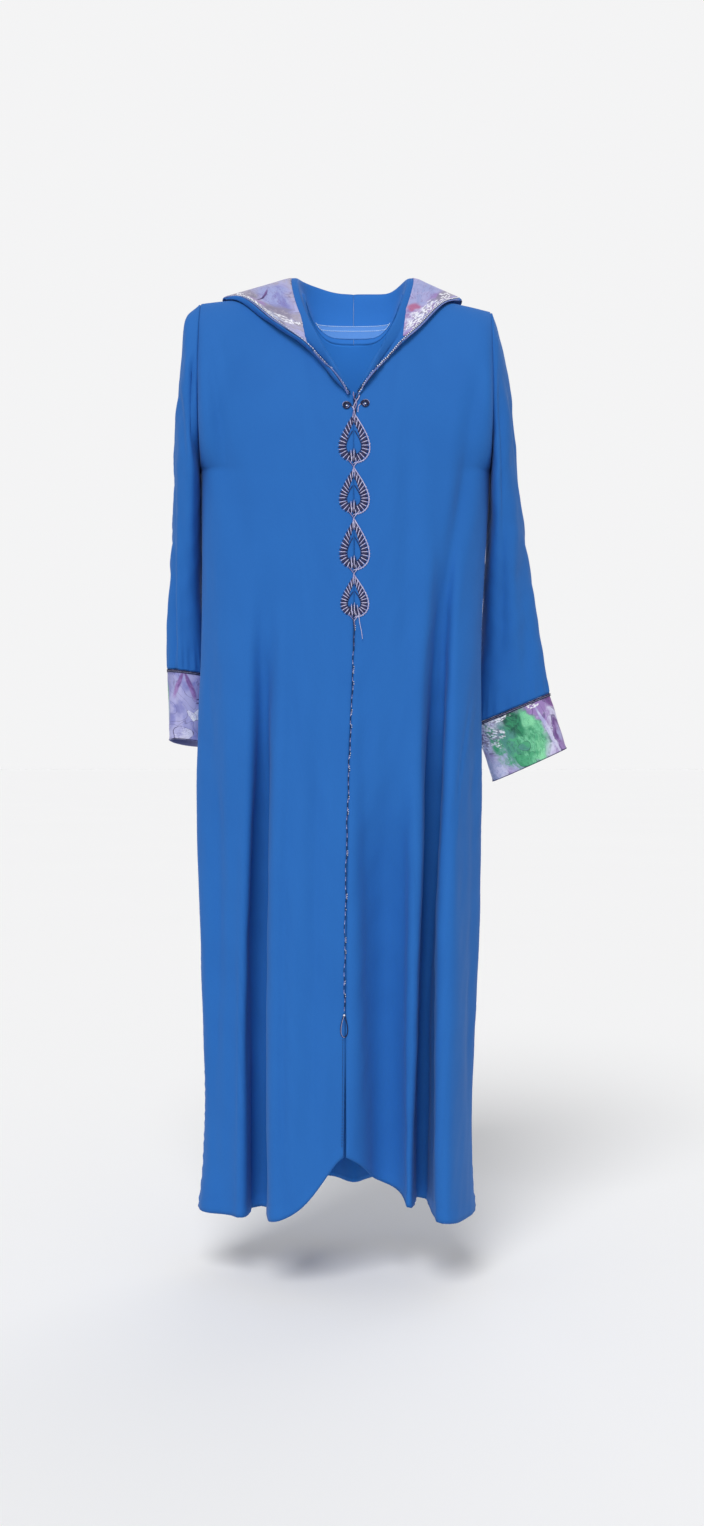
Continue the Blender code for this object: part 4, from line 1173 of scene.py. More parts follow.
# Creases of the body panels by face: (start across, start z, end across, end z, width, depth, bow)
BODY_CREASES = {
    Face.FRONT: (
        *seen_from(Facing.FRONT, (
            (-0.205, -0.06, -0.178, -0.33, 0.01, 0.0035, 0.006),
            (-0.195, -0.13, -0.15, -0.42, 0.014, 0.003, 0.008),
            (0.2, -0.09, 0.165, -0.4, 0.012, 0.004, -0.006),
            (0.185, -0.23, 0.128, -0.56, 0.01, 0.0034, -0.004),
            (0.09, -0.16, 0.084, -0.64, 0.013, 0.003, 0.003),
            (-0.06, -0.19, -0.074, -0.7, 0.016, 0.0024, -0.004),
            (-0.1165, -0.56, -0.128, -1.6, 0.011, 0.024, -0.004),
            (0.133, -0.58, 0.112, -1.6, 0.012, 0.022, -0.006),
            (0.056, -0.7, 0.068, -1.56, 0.027, 0.026, 0.0),
            (-0.04, -0.56, -0.05, -1.34, 0.012, 0.004, 0.002),
            (-0.09, -0.76, -0.092, -1.355, 0.01, 0.005, -0.003),
            (0.024, -0.52, 0.03, -1.28, 0.011, 0.0036, 0.003),
            (0.08, -0.7, 0.086, -1.345, 0.012, 0.005, 0.002),
            (-0.15, -0.52, -0.158, -1.35, 0.012, 0.0045, 0.003),
            (-0.19, -0.64, -0.196, -1.345, 0.009, 0.004, 0.002),
            (0.172, -0.64, 0.166, -1.345, 0.009, 0.0034, 0.002),
            (0.1854, -0.58, 0.14, -0.91, 0.0022, 0.002, -0.004),
        )),
        *seen_from(Facing.RIGHT, (
            (-0.06, -0.42, -0.066, -1.34, 0.016, 0.006, 0.004),
        )),
        *seen_from(Facing.LEFT, (
            (-0.05, -0.52, -0.058, -1.34, 0.016, 0.005, -0.004),
        )),
    ),
    Face.BACK: (
        *seen_from(Facing.BACK, (
            (-0.19, -0.12, -0.12, -0.47, 0.016, 0.004, -0.006),
            (0.186, -0.14, 0.124, -0.45, 0.015, 0.004, 0.006),
            (-0.04, -0.42, -0.052, -1.335, 0.013, 0.005, 0.003),
            (0.042, -0.46, 0.046, -1.335, 0.011, 0.004, -0.003),
            (0.088, -0.62, 0.092, -1.335, 0.013, 0.005, 0.002),
            (-0.1, -0.68, -0.108, -1.335, 0.01, 0.004, 0.002),
            (-0.165, -0.38, -0.172, -1.34, 0.014, 0.006, 0.003),
            (0.152, -0.42, 0.154, -1.34, 0.013, 0.0055, -0.002),
        )),
        *seen_from(Facing.RIGHT, (
            (0.06, -0.36, 0.07, -1.34, 0.015, 0.006, -0.003),
        )),
        *seen_from(Facing.LEFT, (
            (0.056, -0.46, 0.062, -1.34, 0.016, 0.0055, 0.003),
        )),
    ),
}


@dataclass
class BodyPanels:
    """The two fronts and the back, with their folds, creases, seams and hems."""

    form: RobeForm
    finishes: Finishes
    wall: float = 0.0010
    lift: float = 0.0012
    columns: int = 84
    yoke_rows: int = 54
    skirt_rows: int = 176
    seam_gap: float = 0.00008
    seam_dip: float = 0.0014
    seam_width: float = 0.0034
    slit_top: float = -1.090
    slit_gap: float = 0.0012
    hem_line: float = 0.020
    hem_dip: float = 0.0007
    front_dip: float = 0.0011
    side_pucker: float = 0.0008
    front_pucker: float = 0.0005
    flat_front: tuple = (0.35, 1.40)
    flat_back: tuple = (0.68, 1.40)

    def downs(self) -> Array:
        """Rows of a panel, from the top edge to the hem."""
        share = self.form.armhole_share
        upper = np.linspace(0.0, share, self.yoke_rows, endpoint=False)
        return np.concatenate([upper, np.linspace(share, 1.0, self.skirt_rows)])

    def half(self, side: Side, face: Face) -> Array:
        """Points of half a panel, from its centre to its side."""
        shares = np.linspace(0.0, 1.0, self.columns)
        shares = mix(shares, smooth(shares), 0.25)
        return self.form.point(side, face, shares[None, :], self.downs()[:, None])

    def dressed(self, cloth: Cloth, face: Face, seed: int) -> Cloth:
        """The panel with its creases, slow ripples, sunk seams and turned hem."""
        points = cloth.points
        z = points[..., 2]
        calm = smooth((-0.20 - z) / 0.35)
        wave = ripple(points, seed, 0.085, 5.0) * 0.0012 * (0.25 + calm)
        wave += ripple(points, seed + 5, 0.034, 2.2) * 0.0004 * (0.3 + calm)
        side_gap = np.abs(points[..., 1]) - 0.4 * np.clip(self.form.underarm_z + 0.02 - z, -0.05, 0.0)
        dip = -self.seam_dip * np.exp(-((side_gap / self.seam_width) ** 2))
        pucker = np.sin(z * 2 * pi / 0.017 + 2.0 * np.sin(z * 31.0)) * smooth((-0.45 - z) / 0.2)
        dip += self.side_pucker * pucker * np.exp(-((side_gap / 0.012) ** 2))
        if face == Face.FRONT:
            off = np.abs(points[..., 0] - self.form.seam_x(z))
            dip -= self.front_dip * np.exp(-((off / 0.0030) ** 2)) * (z < self.form.neck_point_z)
            stitch = np.sin(z * 2 * pi / 0.011 + np.sin(z * 57.0)) * (z < -0.47)
            dip += self.front_pucker * stitch * np.exp(-((off / 0.007) ** 2))
        run = cloth.lengths()[..., 1]
        to_hem = run[-1:] - run
        dip -= self.hem_dip * np.exp(-(((to_hem - self.hem_line) / 0.0022) ** 2))
        dip += 0.0004 * smooth((0.019 - to_hem) / 0.004)
        return cloth.creased(BODY_CREASES[face]).moved(wave + dip + self.lift)

    def parted(self, points: Array, side: Side, face: Face) -> Array:
        """Points moved off the panel's seams by half a small gap."""
        points = points.copy()
        if face == Face.FRONT:
            slit = smooth((self.slit_top - points[:, 0, 2]) / 0.15)
            points[:, 0, 0] += side * (self.seam_gap + self.slit_gap * slit)
        on_arm = points[:, -1, 2] > self.form.underarm_z
        points[:, -1, 1] = face * self.seam_gap + np.where(on_arm, self.arm_edge(face), 0.0)
        return points

    def arm_edge(self, face: Face) -> Array:
        """Depth of the armhole edge, which keeps its own curve."""
        downs = within(self.downs() / self.form.armhole_share)
        return face * self.form.armhole_deep * np.sin(pi * downs)

    def grids(self) -> dict:
        """Cloth grids of the three panels by node name."""
        cloths = {}
        for side in Side:
            points = self.parted(self.half(side, Face.FRONT), side, Face.FRONT)
            cloth = Cloth(points, outward=1 if side == Side.LEFT else -1)
            cloths[f"front_{side.label}"] = self.dressed(cloth, Face.FRONT, 11 + side)
        right = self.parted(self.half(Side.RIGHT, Face.BACK), Side.RIGHT, Face.BACK)
        left = self.parted(self.half(Side.LEFT, Face.BACK), Side.LEFT, Face.BACK)
        back = Cloth(np.concatenate([right[:, ::-1], left[:, 1:]], axis=1), outward=-1)
        cloths["back"] = self.dressed(back, Face.BACK, 23)
        return cloths

    def build(self, cloths: dict) -> None:
        """Make the three panels from their grids."""
        for node, cloth in cloths.items():
            obj = cloth.build(f"{node}_cloth", (self.finishes.crepe, self.finishes.inside_painted_light), self.wall)
            settle_piece(obj, (node,))


# --- sleeves and cuffs


# Rings of the sleeves, from the armhole down: (out x, out z, in x, in z, y, deep)
SLEEVE_RINGS = {
    Side.RIGHT: (
        (-0.218, -0.01, -0.2195, -0.262, 0.0, 0.068),
        (-0.237, -0.03, -0.2192, -0.276, 0.003, 0.072),
        (-0.2435, -0.085, -0.219, -0.298, 0.01, 0.075),
        (-0.25, -0.145, -0.2192, -0.328, 0.018, 0.075),
        (-0.2555, -0.215, -0.2193, -0.364, 0.027, 0.073),
        (-0.259, -0.29, -0.2195, -0.403, 0.036, 0.069),
        (-0.2635, -0.375, -0.22, -0.445, 0.045, 0.064),
        (-0.2675, -0.45, -0.2165, -0.49, 0.052, 0.059),
        (-0.27, -0.51, -0.213, -0.53, 0.057, 0.055),
        (-0.2715, -0.552, -0.211, -0.56, 0.06, 0.052),
    ),
    Side.LEFT: (
        (0.2168, -0.022, 0.2182, -0.262, 0.0, 0.068),
        (0.2245, -0.045, 0.2175, -0.276, 0.003, 0.072),
        (0.2345, -0.085, 0.2168, -0.298, 0.01, 0.076),
        (0.244, -0.14, 0.216, -0.33, 0.017, 0.077),
        (0.253, -0.215, 0.2148, -0.367, 0.026, 0.075),
        (0.263, -0.296, 0.2132, -0.408, 0.036, 0.069),
        (0.2755, -0.378, 0.211, -0.454, 0.045, 0.06),
        (0.288, -0.46, 0.208, -0.513, 0.051, 0.049),
        (0.3005, -0.532, 0.202, -0.574, 0.055, 0.038),
        (0.3105, -0.588, 0.1985, -0.635, 0.057, 0.031),
    ),
}

# Creases of the sleeves, then of the cuffs: (start across, start z, end across, end z, width, depth, bow)
SLEEVE_CREASES = {
    Side.RIGHT: (
        *seen_from(Facing.FRONT, (
            (-0.219, -0.095, -0.216, -0.26, 0.005, 0.006, -0.01),
            (-0.248, -0.13, -0.235, -0.25, 0.0045, 0.0035, 0.003),
            (-0.252, -0.18, -0.259, -0.62, 0.0048, 0.008, -0.003),
        )),
        *seen_from(Facing.RIGHT, (
            (-0.04, -0.12, 0.05, -0.33, 0.012, 0.0045, 0.012),
            (-0.02, -0.23, 0.088, -0.36, 0.011, 0.0045, -0.01),
            (0.0, -0.33, 0.1, -0.43, 0.012, 0.004, -0.008),
            (0.02, -0.4, 0.06, -0.545, 0.01, 0.004, 0.004),
            (0.085, -0.42, 0.082, -0.545, 0.009, 0.0035, 0.003),
        )),
        *seen_from(Facing.BACK, (
            (-0.242, -0.12, -0.246, -0.42, 0.006, 0.004, 0.004),
        )),
    ),
    Side.LEFT: (
        *seen_from(Facing.FRONT, (
            (0.223, -0.1, 0.229, -0.33, 0.006, 0.005, 0.003),
            (0.238, -0.22, 0.236, -0.56, 0.009, 0.005, -0.004),
            (0.262, -0.36, 0.272, -0.585, 0.009, 0.0035, 0.003),
        )),
        *seen_from(Facing.LEFT, (
            (-0.045, -0.12, 0.04, -0.3, 0.012, 0.0045, -0.012),
            (-0.02, -0.24, 0.09, -0.37, 0.011, 0.0045, -0.01),
            (0.01, -0.34, 0.095, -0.45, 0.012, 0.004, 0.008),
            (0.04, -0.42, 0.06, -0.57, 0.01, 0.0035, 0.004),
        )),
        *seen_from(Facing.BACK, (
            (0.24, -0.12, 0.26, -0.46, 0.009, 0.0045, 0.004),
            (0.245, -0.38, 0.255, -0.58, 0.01, 0.004, 0.003),
        )),
    ),
}
CUFF_CREASES = {
    Side.RIGHT: (
        *seen_from(Facing.FRONT, (
            (-0.26, -0.575, -0.256, -0.66, 0.005, 0.003, 0.002),
        )),
        *seen_from(Facing.RIGHT, (
            (0.03, -0.555, 0.04, -0.66, 0.01, 0.0022, 0.002),
        )),
    ),
    Side.LEFT: (
        *seen_from(Facing.FRONT, (
            (0.25, -0.615, 0.268, -0.7, 0.008, 0.0022, 0.002),
        )),
        *seen_from(Facing.BACK, (
            (0.26, -0.615, 0.28, -0.7, 0.01, 0.0026, -0.002),
        )),
    ),
}


def ring_points(rings: Array, around: Array, power: Array) -> Array:
    """Points of rings: around is 0 at the outer edge and grows to the front; power below 1 flattens it."""
    turn = 2.0 * pi * around[None, :]
    reach = (1.0 + np.cos(turn)) / 2.0
    swell = np.sign(np.sin(turn)) * np.abs(np.sin(turn)) ** power[:, None]
    out_x, out_z, in_x, in_z, y, deep = (rings[:, i, None] for i in range(6))
    return joined(mix(in_x, out_x, reach), y - deep * swell, mix(in_z, out_z, reach))


@dataclass
class SleeveWithCuff:
    """One sleeve, its printed cuff and the braid over the cuff seam."""

    side: Side
    form: RobeForm
    finishes: Finishes
    flat: tuple
    cuff_out: tuple
    cuff_in: tuple
    cuff_deep: float
    rows: int = 150
    columns: int = 96
    cuff_rows: int = 34
    wall: float = 0.0010
    lift: float = 0.0012
    tuck: float = 0.0016
    gathers: int = 23
    gather_height: float = 0.0010
    gather_reach: float = 0.030
    cuff_droop: float = 0.0
    front_power: float = 0.85

    def ring_table(self, places: Array) -> Array:
        """The sleeve's rings, read smoothly."""
        return catmull(np.array(SLEEVE_RINGS[self.side]), places)

    def cuff_table(self, places: Array) -> Array:
        """The cuff's rings, places from 0 at its seam to 1 at its edge."""
        end = np.array(SLEEVE_RINGS[self.side][-1])
        drop = np.array([self.cuff_out[0], self.cuff_out[1], self.cuff_in[0], self.cuff_in[1], 0.0,
                         self.cuff_deep - end[5]])
        return end[None] + places[:, None] * drop[None]

    def cuff_points(self, places: Array, around: Array) -> Array:
        """Points of the cuff, whose back layer may hang lower than the front."""
        points = ring_points(self.cuff_table(places), around, np.full(len(places), self.front_power))
        behind = (1.0 - np.sin(2.0 * pi * around)) / 2.0
        points[..., 2] -= self.cuff_droop * places[:, None] * behind[None, :]
        return points

    def head(self, around: Array) -> Array:
        """The armhole seam's ring, tucked just inside the panels' edge."""
        turn = 2.0 * pi * around
        x = np.full_like(turn, self.form.tip_x[self.side] - self.side * self.tuck)
        y = -(self.form.armhole_deep - 0.001) * np.sin(turn)
        z = mix(self.form.tip_z[self.side] - 0.0016, self.form.underarm_z, (1.0 - np.cos(turn)) / 2.0)
        return joined(x, y, z)

    def build(self) -> None:
        """Make the sleeve, the cuff and its braid."""
        around = np.arange(self.columns) / self.columns
        last = len(SLEEVE_RINGS[self.side]) - 1
        places = last * np.linspace(0.0, 1.0, self.rows) ** 1.15
        power = mix(1.0, self.front_power, smooth(places / last * 3.0))
        points = ring_points(self.ring_table(places), around, power)
        outward = 1 if self.side == Side.RIGHT else -1
        cloth = Cloth(points, outward, closed=True)
        wave = ripple(points, 40 + self.side, 0.075, 2.2) * 0.0013 + ripple(points, 47, 0.030, 1.6) * 0.0005
        run = cloth.lengths()[:, :-1, 1]
        to_cuff = run[-1:] - run
        turn = around[None, :] * 2 * pi
        gather = np.sin(turn * self.gathers + 2.0 * np.sin(turn * 5))
        near = np.exp(-((to_cuff / self.gather_reach) ** 2)) * smooth(to_cuff / 0.004)
        wave += self.gather_height * gather * near
        fade = smooth(run / 0.02)
        cloth = cloth.creased(SLEEVE_CREASES[self.side]).moved(wave * fade + self.lift)
        points = np.concatenate([self.head(around)[None], cloth.points])
        cloth = Cloth(points, outward, closed=True)
        node = f"sleeve_{self.side.label}"
        sleeve = cloth.build(f"{node}_cloth", (self.finishes.crepe, self.finishes.inside_painted_light), self.wall)
        settle_piece(sleeve, (node,))
        self.build_cuff(around, outward)

    def build_cuff(self, around: Array, outward: int) -> None:
        """Make the cuff with its turned edge, and the braid over its seam."""
        places = np.linspace(0.004, 1.0, self.cuff_rows)
        cuff = Cloth(self.cuff_points(places, around), outward, closed=True)
        edge = smooth((places[:, None] - 0.93) / 0.05) * 0.0006
        wave = ripple(cuff.points, 61, 0.05) * 0.0006
        cuff = cuff.creased(CUFF_CREASES[self.side]).moved(edge + self.lift + wave)
        label = self.side.label
        f = self.finishes
        obj = cuff.build(f"cuff_{label}_cloth", (f.cuff[self.side], f.print_back), self.wall)
        settle_piece(obj, (f"cuff_{label}",))
        braid = ThreadWork(f"cuff_{label}_braid", (f.navy, f.silver, f.dusk))
        fine = np.linspace(0.0, 1.0, 481)
        height = float(np.linalg.norm(self.cuff_out))
        for offset, finish, width in ((0.0014, 0, 0.0017), (0.0036, 0, 0.0015), (0.0025, 1, 0.0009)):
            points = self.cuff_points(np.array([0.0, offset / height, 1.0]), fine)
            path = Cloth(points, outward).moved(self.lift)
            braid.rope(path.points[1], path.normals()[1], width, finish, lift=0.45)
        rim = Cloth(self.cuff_points(np.array([0.0, 0.992, 1.0]), fine), outward).moved(self.lift + 0.0006)
        braid.rope(rim.points[1], rim.normals()[1], 0.0008, 2, lift=0.1)
        piece = braid.build()
        settle_piece(piece, (f"cuff_braid_{label}",))
        length = float(cuff.lengths()[0, -1, 0])


# --- hood


@dataclass
class Hood:
    """The hood worn down: two halves, printed facings, edge trims and the neck tape."""

    form: RobeForm
    finishes: Finishes
    tip: dict = by_side((-0.188, -0.006, 0.005), (0.176, -0.006, 0.003))
    bulge: dict = by_side(0.021, 0.011)
    stand_off: dict = by_side(0.0100, 0.0020)
    ease: float = 1.45
    crest_back: float = 0.022
    crest_side: float = 0.038
    point_stand: float = 0.005
    point_spread: float = 0.0030
    roll: float = 0.012
    lean_width: float = 0.16
    lean_out: dict = by_side(0.85, 0.65)
    crest_power: dict = by_side(2.6, 14.0)
    rim_back: tuple = (0.165, -0.060)
    drop: float = 0.315
    clear: float = 0.0034
    clear_back: float = 0.0050
    clear_point: float = 0.0024
    last_share: float = 0.965
    columns: int = 92
    rows: int = 130
    wall: float = 0.0010
    facing_wall: float = 0.0006
    facing_rows: int = 26
    band: dict = by_side(0.0086, 0.0090)
    print_edge: dict = by_side((-0.0735, -0.20), (0.0905, 0.10))
    easing: tuple = (10, 5)
    seam_gap: float = 0.0001
    tape_z: tuple = (-0.0435, -0.0235)
    tape_rows: int = 12
    under_reach: float = 0.0095
    under_drop: float = 0.0110
    under_rows: int = 6
    facing_deep: float = 0.085

    def shares(self) -> Array:
        """Columns of one half, evenly spaced from the centre back to near the V."""
        return np.linspace(0.0, self.last_share, self.columns)

    def away(self, share: Array) -> Array:
        """Direction out of the body under each column."""
        behind = smooth((0.525 - share) / 0.2)[:, None]
        ahead = smooth((share - 0.5) / 0.18)[:, None]
        shoulder, front = np.array([0.0, -0.25, 1.0]), np.array([0.0, -1.0, 0.10])
        return unit(mix(mix(shoulder, front, ahead), np.array([0.0, 1.0, 0.25]), behind))

    def guide(self, side: Side, share: Array) -> Array:
        """Ten guide points of each column, from the neck seam to the face edge.

        Args:
            side: the half of the hood.
            share: the columns.

        Returns:
            Guide points by columns by three.
        """
        seam = self.form.neck_seam(side, share)
        tip = np.array(self.tip[side])
        point = self.form.neck_seam(side, np.array([1.0]))[0]
        up = np.array([0.0, 0.0, 1.0])
        back = (share < 0.5)[:, None]
        turn = within(share / 0.5) * pi / 2.0
        rest = within((share - 0.5) / 0.5)
        pouch = np.where(share < 0.5, np.cos(turn) ** 1.5, 0.0)[:, None]
        stand = np.where(
            share < 0.5,
            mix(self.crest_back, self.crest_side, np.sin(turn) ** self.crest_power[side]) - seam[:, 2],
            mix(self.crest_side - self.form.shoulder_z, self.point_stand, rest**0.7),
        )[:, None]
        rim_back = np.stack([
            mix(seam[:, 0], tip[0], np.sin(turn) ** 0.8),
            mix(tip[1], self.rim_back[0], np.cos(turn)),
            mix(tip[2], self.rim_back[1], np.cos(turn) ** 2),
        ], axis=-1)
        reach = (1.0 - (1.0 - rest) ** self.ease)[:, None]
        rim_front = mix(tip, point + np.array([side * self.point_spread, 0.0, 0.0]), reach)
        rim_front = rim_front + up * self.bulge[side] * np.sin(pi * reach**1.6)
        rim = np.where(back, rim_back, rim_front)
        lean = unit(mix(up, np.array([0.0, -1.0, 0.10]), smooth(rest * 1.2)[:, None]))
        roll = (rim - seam) * np.array([1.0, 1.0, 0.0])
        roll = unit(roll) * np.minimum(self.roll, np.linalg.norm(roll, axis=1, keepdims=True) * 0.25)
        beside = np.exp(-(((share - 0.5) / self.lean_width) ** 2))[:, None]
        crest = seam + lean * stand + roll * (0.5 + self.lean_out[side] * beside)
        over = crest + roll
        bottom = mix(over, rim, 0.55) + pouch * np.array([0.0, -0.012, 0.0]) - up * self.drop * pouch
        bottom[:, 0] = mix(bottom[:, 0], mix(seam[:, 0], rim[:, 0], 0.35), pouch[:, 0])
        fold = smooth(pouch * 1.6)

        def between(flat_share: float, start: Array, end: Array, part: float,
                    shift: float) -> Array:
            """Point of the pouch's wall, or of the plain fall where there is no pouch."""
            deep = mix(start, end, part) + pouch * np.array([0.0, shift, 0.0])
            return mix(mix(over, rim, flat_share), deep, fold)

        return np.stack([
            seam, mix(seam, crest, 0.55), crest - roll * 0.2, over,
            between(0.22, over, bottom, 0.22, -0.010), between(0.45, over, bottom, 0.80, -0.010),
            between(0.62, bottom, bottom, 0.0, 0.0),
            between(0.76, bottom, rim, 0.20, 0.016), between(0.88, bottom, rim, 0.60, 0.016), rim,
        ])

    def cleared(self, side: Side, points: Array, places: Array, body: BVHTree) -> Array:
        """Points pushed out until they stand clear of the body."""
        share = self.shares()
        away = self.away(share)
        behind = smooth((0.525 - share) / 0.2)
        gap = mix(self.clear, self.clear_back, behind)
        gap = mix(gap, self.clear_point, smooth((share - 0.80) / 0.20))
        front = np.sin(pi * within((share - 0.5) / 0.5)) ** 0.8
        points = points.copy()
        for c in range(len(share)):
            way = Vector(away[c])
            for r in range(len(places)):
                if places[r] < 1.4:
                    continue
                needed = gap[c] + self.stand_off[side] * front[c] * float(smooth((places[r] - 4.5) / 4.5))
                here = Vector(points[r, c])
                hit, normal, _, _ = body.ray_cast(here + way * 0.30, -way, 0.60)
                if hit is not None:
                    height = (here - hit).dot(way)
                    want = needed / max(abs(normal.dot(way)), 0.4)
                    if -0.06 < height < want:
                        points[r, c] += away[c] * (want - height)
        return points

    def relaxed(self, points: Array, passes: int) -> Array:
        """Points eased towards their neighbours, with the neck seam held and the edges kept in line."""
        for _ in range(passes):
            eased = points.copy()
            upright = points[:-2, 1:-1] + points[2:, 1:-1]
            eased[1:-1, 1:-1] = (upright + points[1:-1, :-2] + points[1:-1, 2:]) / 4.0
            eased[-1, 1:-1] = (points[-1, :-2] + points[-1, 2:]) / 2.0
            eased[1:-1, -1] = (points[:-2, -1] + points[2:, -1]) / 2.0
            middle = (points[:-2, 0] + points[2:, 0]) / 2.0
            middle[:, 0] = points[1:-1, 0, 0]
            eased[1:-1, 0] = middle
            points = mix(points, eased, 0.6)
        return points

    def half(self, side: Side, body: BVHTree) -> tuple:
        """One half of the hood: its points from seam to edge, and the place of each row."""
        places = 9.0 * np.linspace(0.0, 1.0, self.rows)
        points = catmull(self.guide(side, self.shares()), places)
        for passes in self.easing:
            points = self.relaxed(points, passes)
            points = self.cleared(side, points, places, body)
        points[:, 0, 0] = self.form.sections[0].seam + side * self.seam_gap
        return points, places

    def creases(self, side: Side) -> tuple:
        """Soft creases of the back of the pouch and of the lapel."""
        middle, s = 0.012, float(side)
        return seen_from(Facing.BACK, (
            (middle + 0.030 * s, -0.080, middle + 0.012 * s, -0.240, 0.010, 0.0030, 0.004 * s),
            (middle + 0.085 * s, -0.060, middle + 0.034 * s, -0.200, 0.012, 0.0036, 0.006 * s),
            (middle + 0.130 * s, -0.040, middle + 0.080 * s, -0.120, 0.010, 0.0026, 0.003),
        ))

    def build(self, body: BVHTree) -> None:
        """Make both halves with their trims, then the neck tape across them."""
        shown = {}
        for side in Side:
            points, places = self.half(side, body)
            outer = Cloth(points, outward=-1 if side == Side.RIGHT else 1).creased(self.creases(side))
            obj = self.with_under_edge(side, outer).moved(0.0004).build(
                f"hood_{side.label}_cloth", (self.finishes.crepe, self.finishes.crepe), self.wall)
            settle_piece(obj, (f"hood_{side.label}",))
            inner = Cloth(outer.points, outward=-outer.outward).moved(0.0007)
            shown[side] = inner
            trims = (self.build_facing(side, inner, places), self.build_edge(side, inner))
        self.build_tape(shown)

    def with_under_edge(self, side: Side, outer: Cloth) -> Cloth:
        """The half with its edge's underside, which shows below the trim where it stands off the chest."""
        if side == Side.LEFT:
            return outer
        share = self.shares()
        away = self.away(share)
        open_edge = np.sin(pi * within((share - 0.5) / 0.5)) ** 0.7
        beyond = unit(outer.points[-1] - outer.points[-9])
        for _ in range(12):
            beyond[1:-1] = (beyond[:-2] + beyond[1:-1] + beyond[2:]) / 3.0
        rows = [outer.points]
        for k in range(1, self.under_rows + 1):
            part = k / self.under_rows
            size = (0.03 + open_edge) * part
            drop = away * (self.under_drop * size * part)[:, None]
            rows.append((outer.points[-1] + beyond * (self.under_reach * size)[:, None] - drop)[None])
        return Cloth(np.concatenate(rows), outer.outward)

    def column_walk(self, inner: Cloth, column: int) -> Array:
        """Length along one column from the face edge, at each row."""
        return run_along(inner.points[::-1, column])[::-1]

    def read(self, inner: Cloth, normals: Array, column: int, lengths: Array,
             lift: float) -> Array:
        """Points of one column at given lengths from the face edge, lifted off the cloth."""
        walk = self.column_walk(inner, column)[::-1]
        lifted = (inner.points[:, column] + normals[:, column] * lift)[::-1]
        return read_at(lifted, walk, lengths)

    def facing_depth(self, side: Side, inner: Cloth, column: int, share: float, crest: int) -> float:
        """Depth of the printed facing at one column, from the face edge."""
        walk = self.column_walk(inner, column)
        start, slope = self.print_edge[side]
        x = (inner.points[:, column, 0] - slope * inner.points[:, column, 2]) * side
        inside = np.nonzero(x[crest:] < start * side)[0]
        first = min(crest + (inside[-1] + 1 if len(inside) else 0), len(walk) - 1)
        behind = smooth((0.50 - share) / 0.10)
        return float(mix(walk[first], min(self.facing_deep, walk[crest]), behind))

    def build_facing(self, side: Side, inner: Cloth, places: Array) -> Object:
        """Printed facing inside the face edge, to where it runs out in front."""
        normals = inner.normals()
        crest = int(np.searchsorted(places, 2.6))
        rim = inner.points[-1]
        run = run_along(rim)
        run -= np.interp(0.5, self.shares(), run)
        columns, uvs = [], []
        for column, share in enumerate(self.shares()):
            deep = self.facing_depth(side, inner, column, share, crest)
            if deep < self.band[side] + 0.003:
                break
            lengths = np.linspace(deep, self.band[side], self.facing_rows)
            columns.append(self.read(inner, normals, column, lengths, 0.0007))
            uvs.append(joined(np.full_like(lengths, run[column]), lengths))
        cloth = Cloth(np.array(columns).swapaxes(0, 1), inner.outward)
        obj = cloth.build(f"facing_{side.label}_cloth", (self.finishes.facing[side],), self.facing_wall,
                          np.array(uvs).swapaxes(0, 1))
        settle_piece(obj, (f"facing_{side.label}",))
        return obj

    def build_edge(self, side: Side, inner: Cloth) -> Object:
        """Trim along the face edge: a braid of ropes with beads on the left and dashes on the right."""
        normals = inner.normals()
        f = self.finishes
        work = ThreadWork(f"hood_{side.label}_trim", (f.navy, f.grey, f.bead), segments=5)
        out = normals[-4]

        def line(at: float, lift: float) -> Array:
            """Path along the edge at one distance from it."""
            path = np.array([self.read(inner, normals, c, np.array([at]), lift)[0]
                             for c in range(inner.points.shape[1])])
            for _ in range(6):
                path[1:-1] = (path[:-2] + 2.0 * path[1:-1] + path[2:]) / 4.0
            return path

        for at in (0.0002, 0.0050, 0.0082):
            work.rope(line(at, 0.0003), out, 0.0011, 0)
        for at in (0.0014, 0.0026, 0.0038):
            work.rope(line(at, 0.0004), out, 0.0014, 1, lift=0.3)
        if side == Side.LEFT:
            self.beads(work, line(0.0067, 0.0007), out, 0.0036, 0.0025)
        else:
            self.dashes(work, line(0.0066, 0.0008), out)
        obj = work.build()
        settle_piece(obj, (f"hood_braid_{side.label}",))
        LOG.info("trim %s is %.4f m wide", side.label, self.band[side])
        return obj

    def beads(self, work: ThreadWork, path: Array, out: Array, pitch: float, size: float) -> None:
        """Row of round silver beads."""
        centre, way, up = spaced(path, out, pitch / 2, pitch)
        work.add(centre + up * size * 0.4, way, up, (size, size, size), 2)
        between = (centre[:-1] + centre[1:]) / 2.0
        work.add(between + up[:-1] * 0.0005, way[:-1], up[:-1], (pitch * 0.55, 0.0011, 0.0011), 0)

    def dashes(self, work: ThreadWork, path: Array, out: Array) -> None:
        """Row of long silver stitches."""
        centre, way, up = spaced(path, out, 0.002, 0.0046)
        work.add(centre + up * 0.0007, way, up, (0.0042, 0.0016, 0.0012), 2)

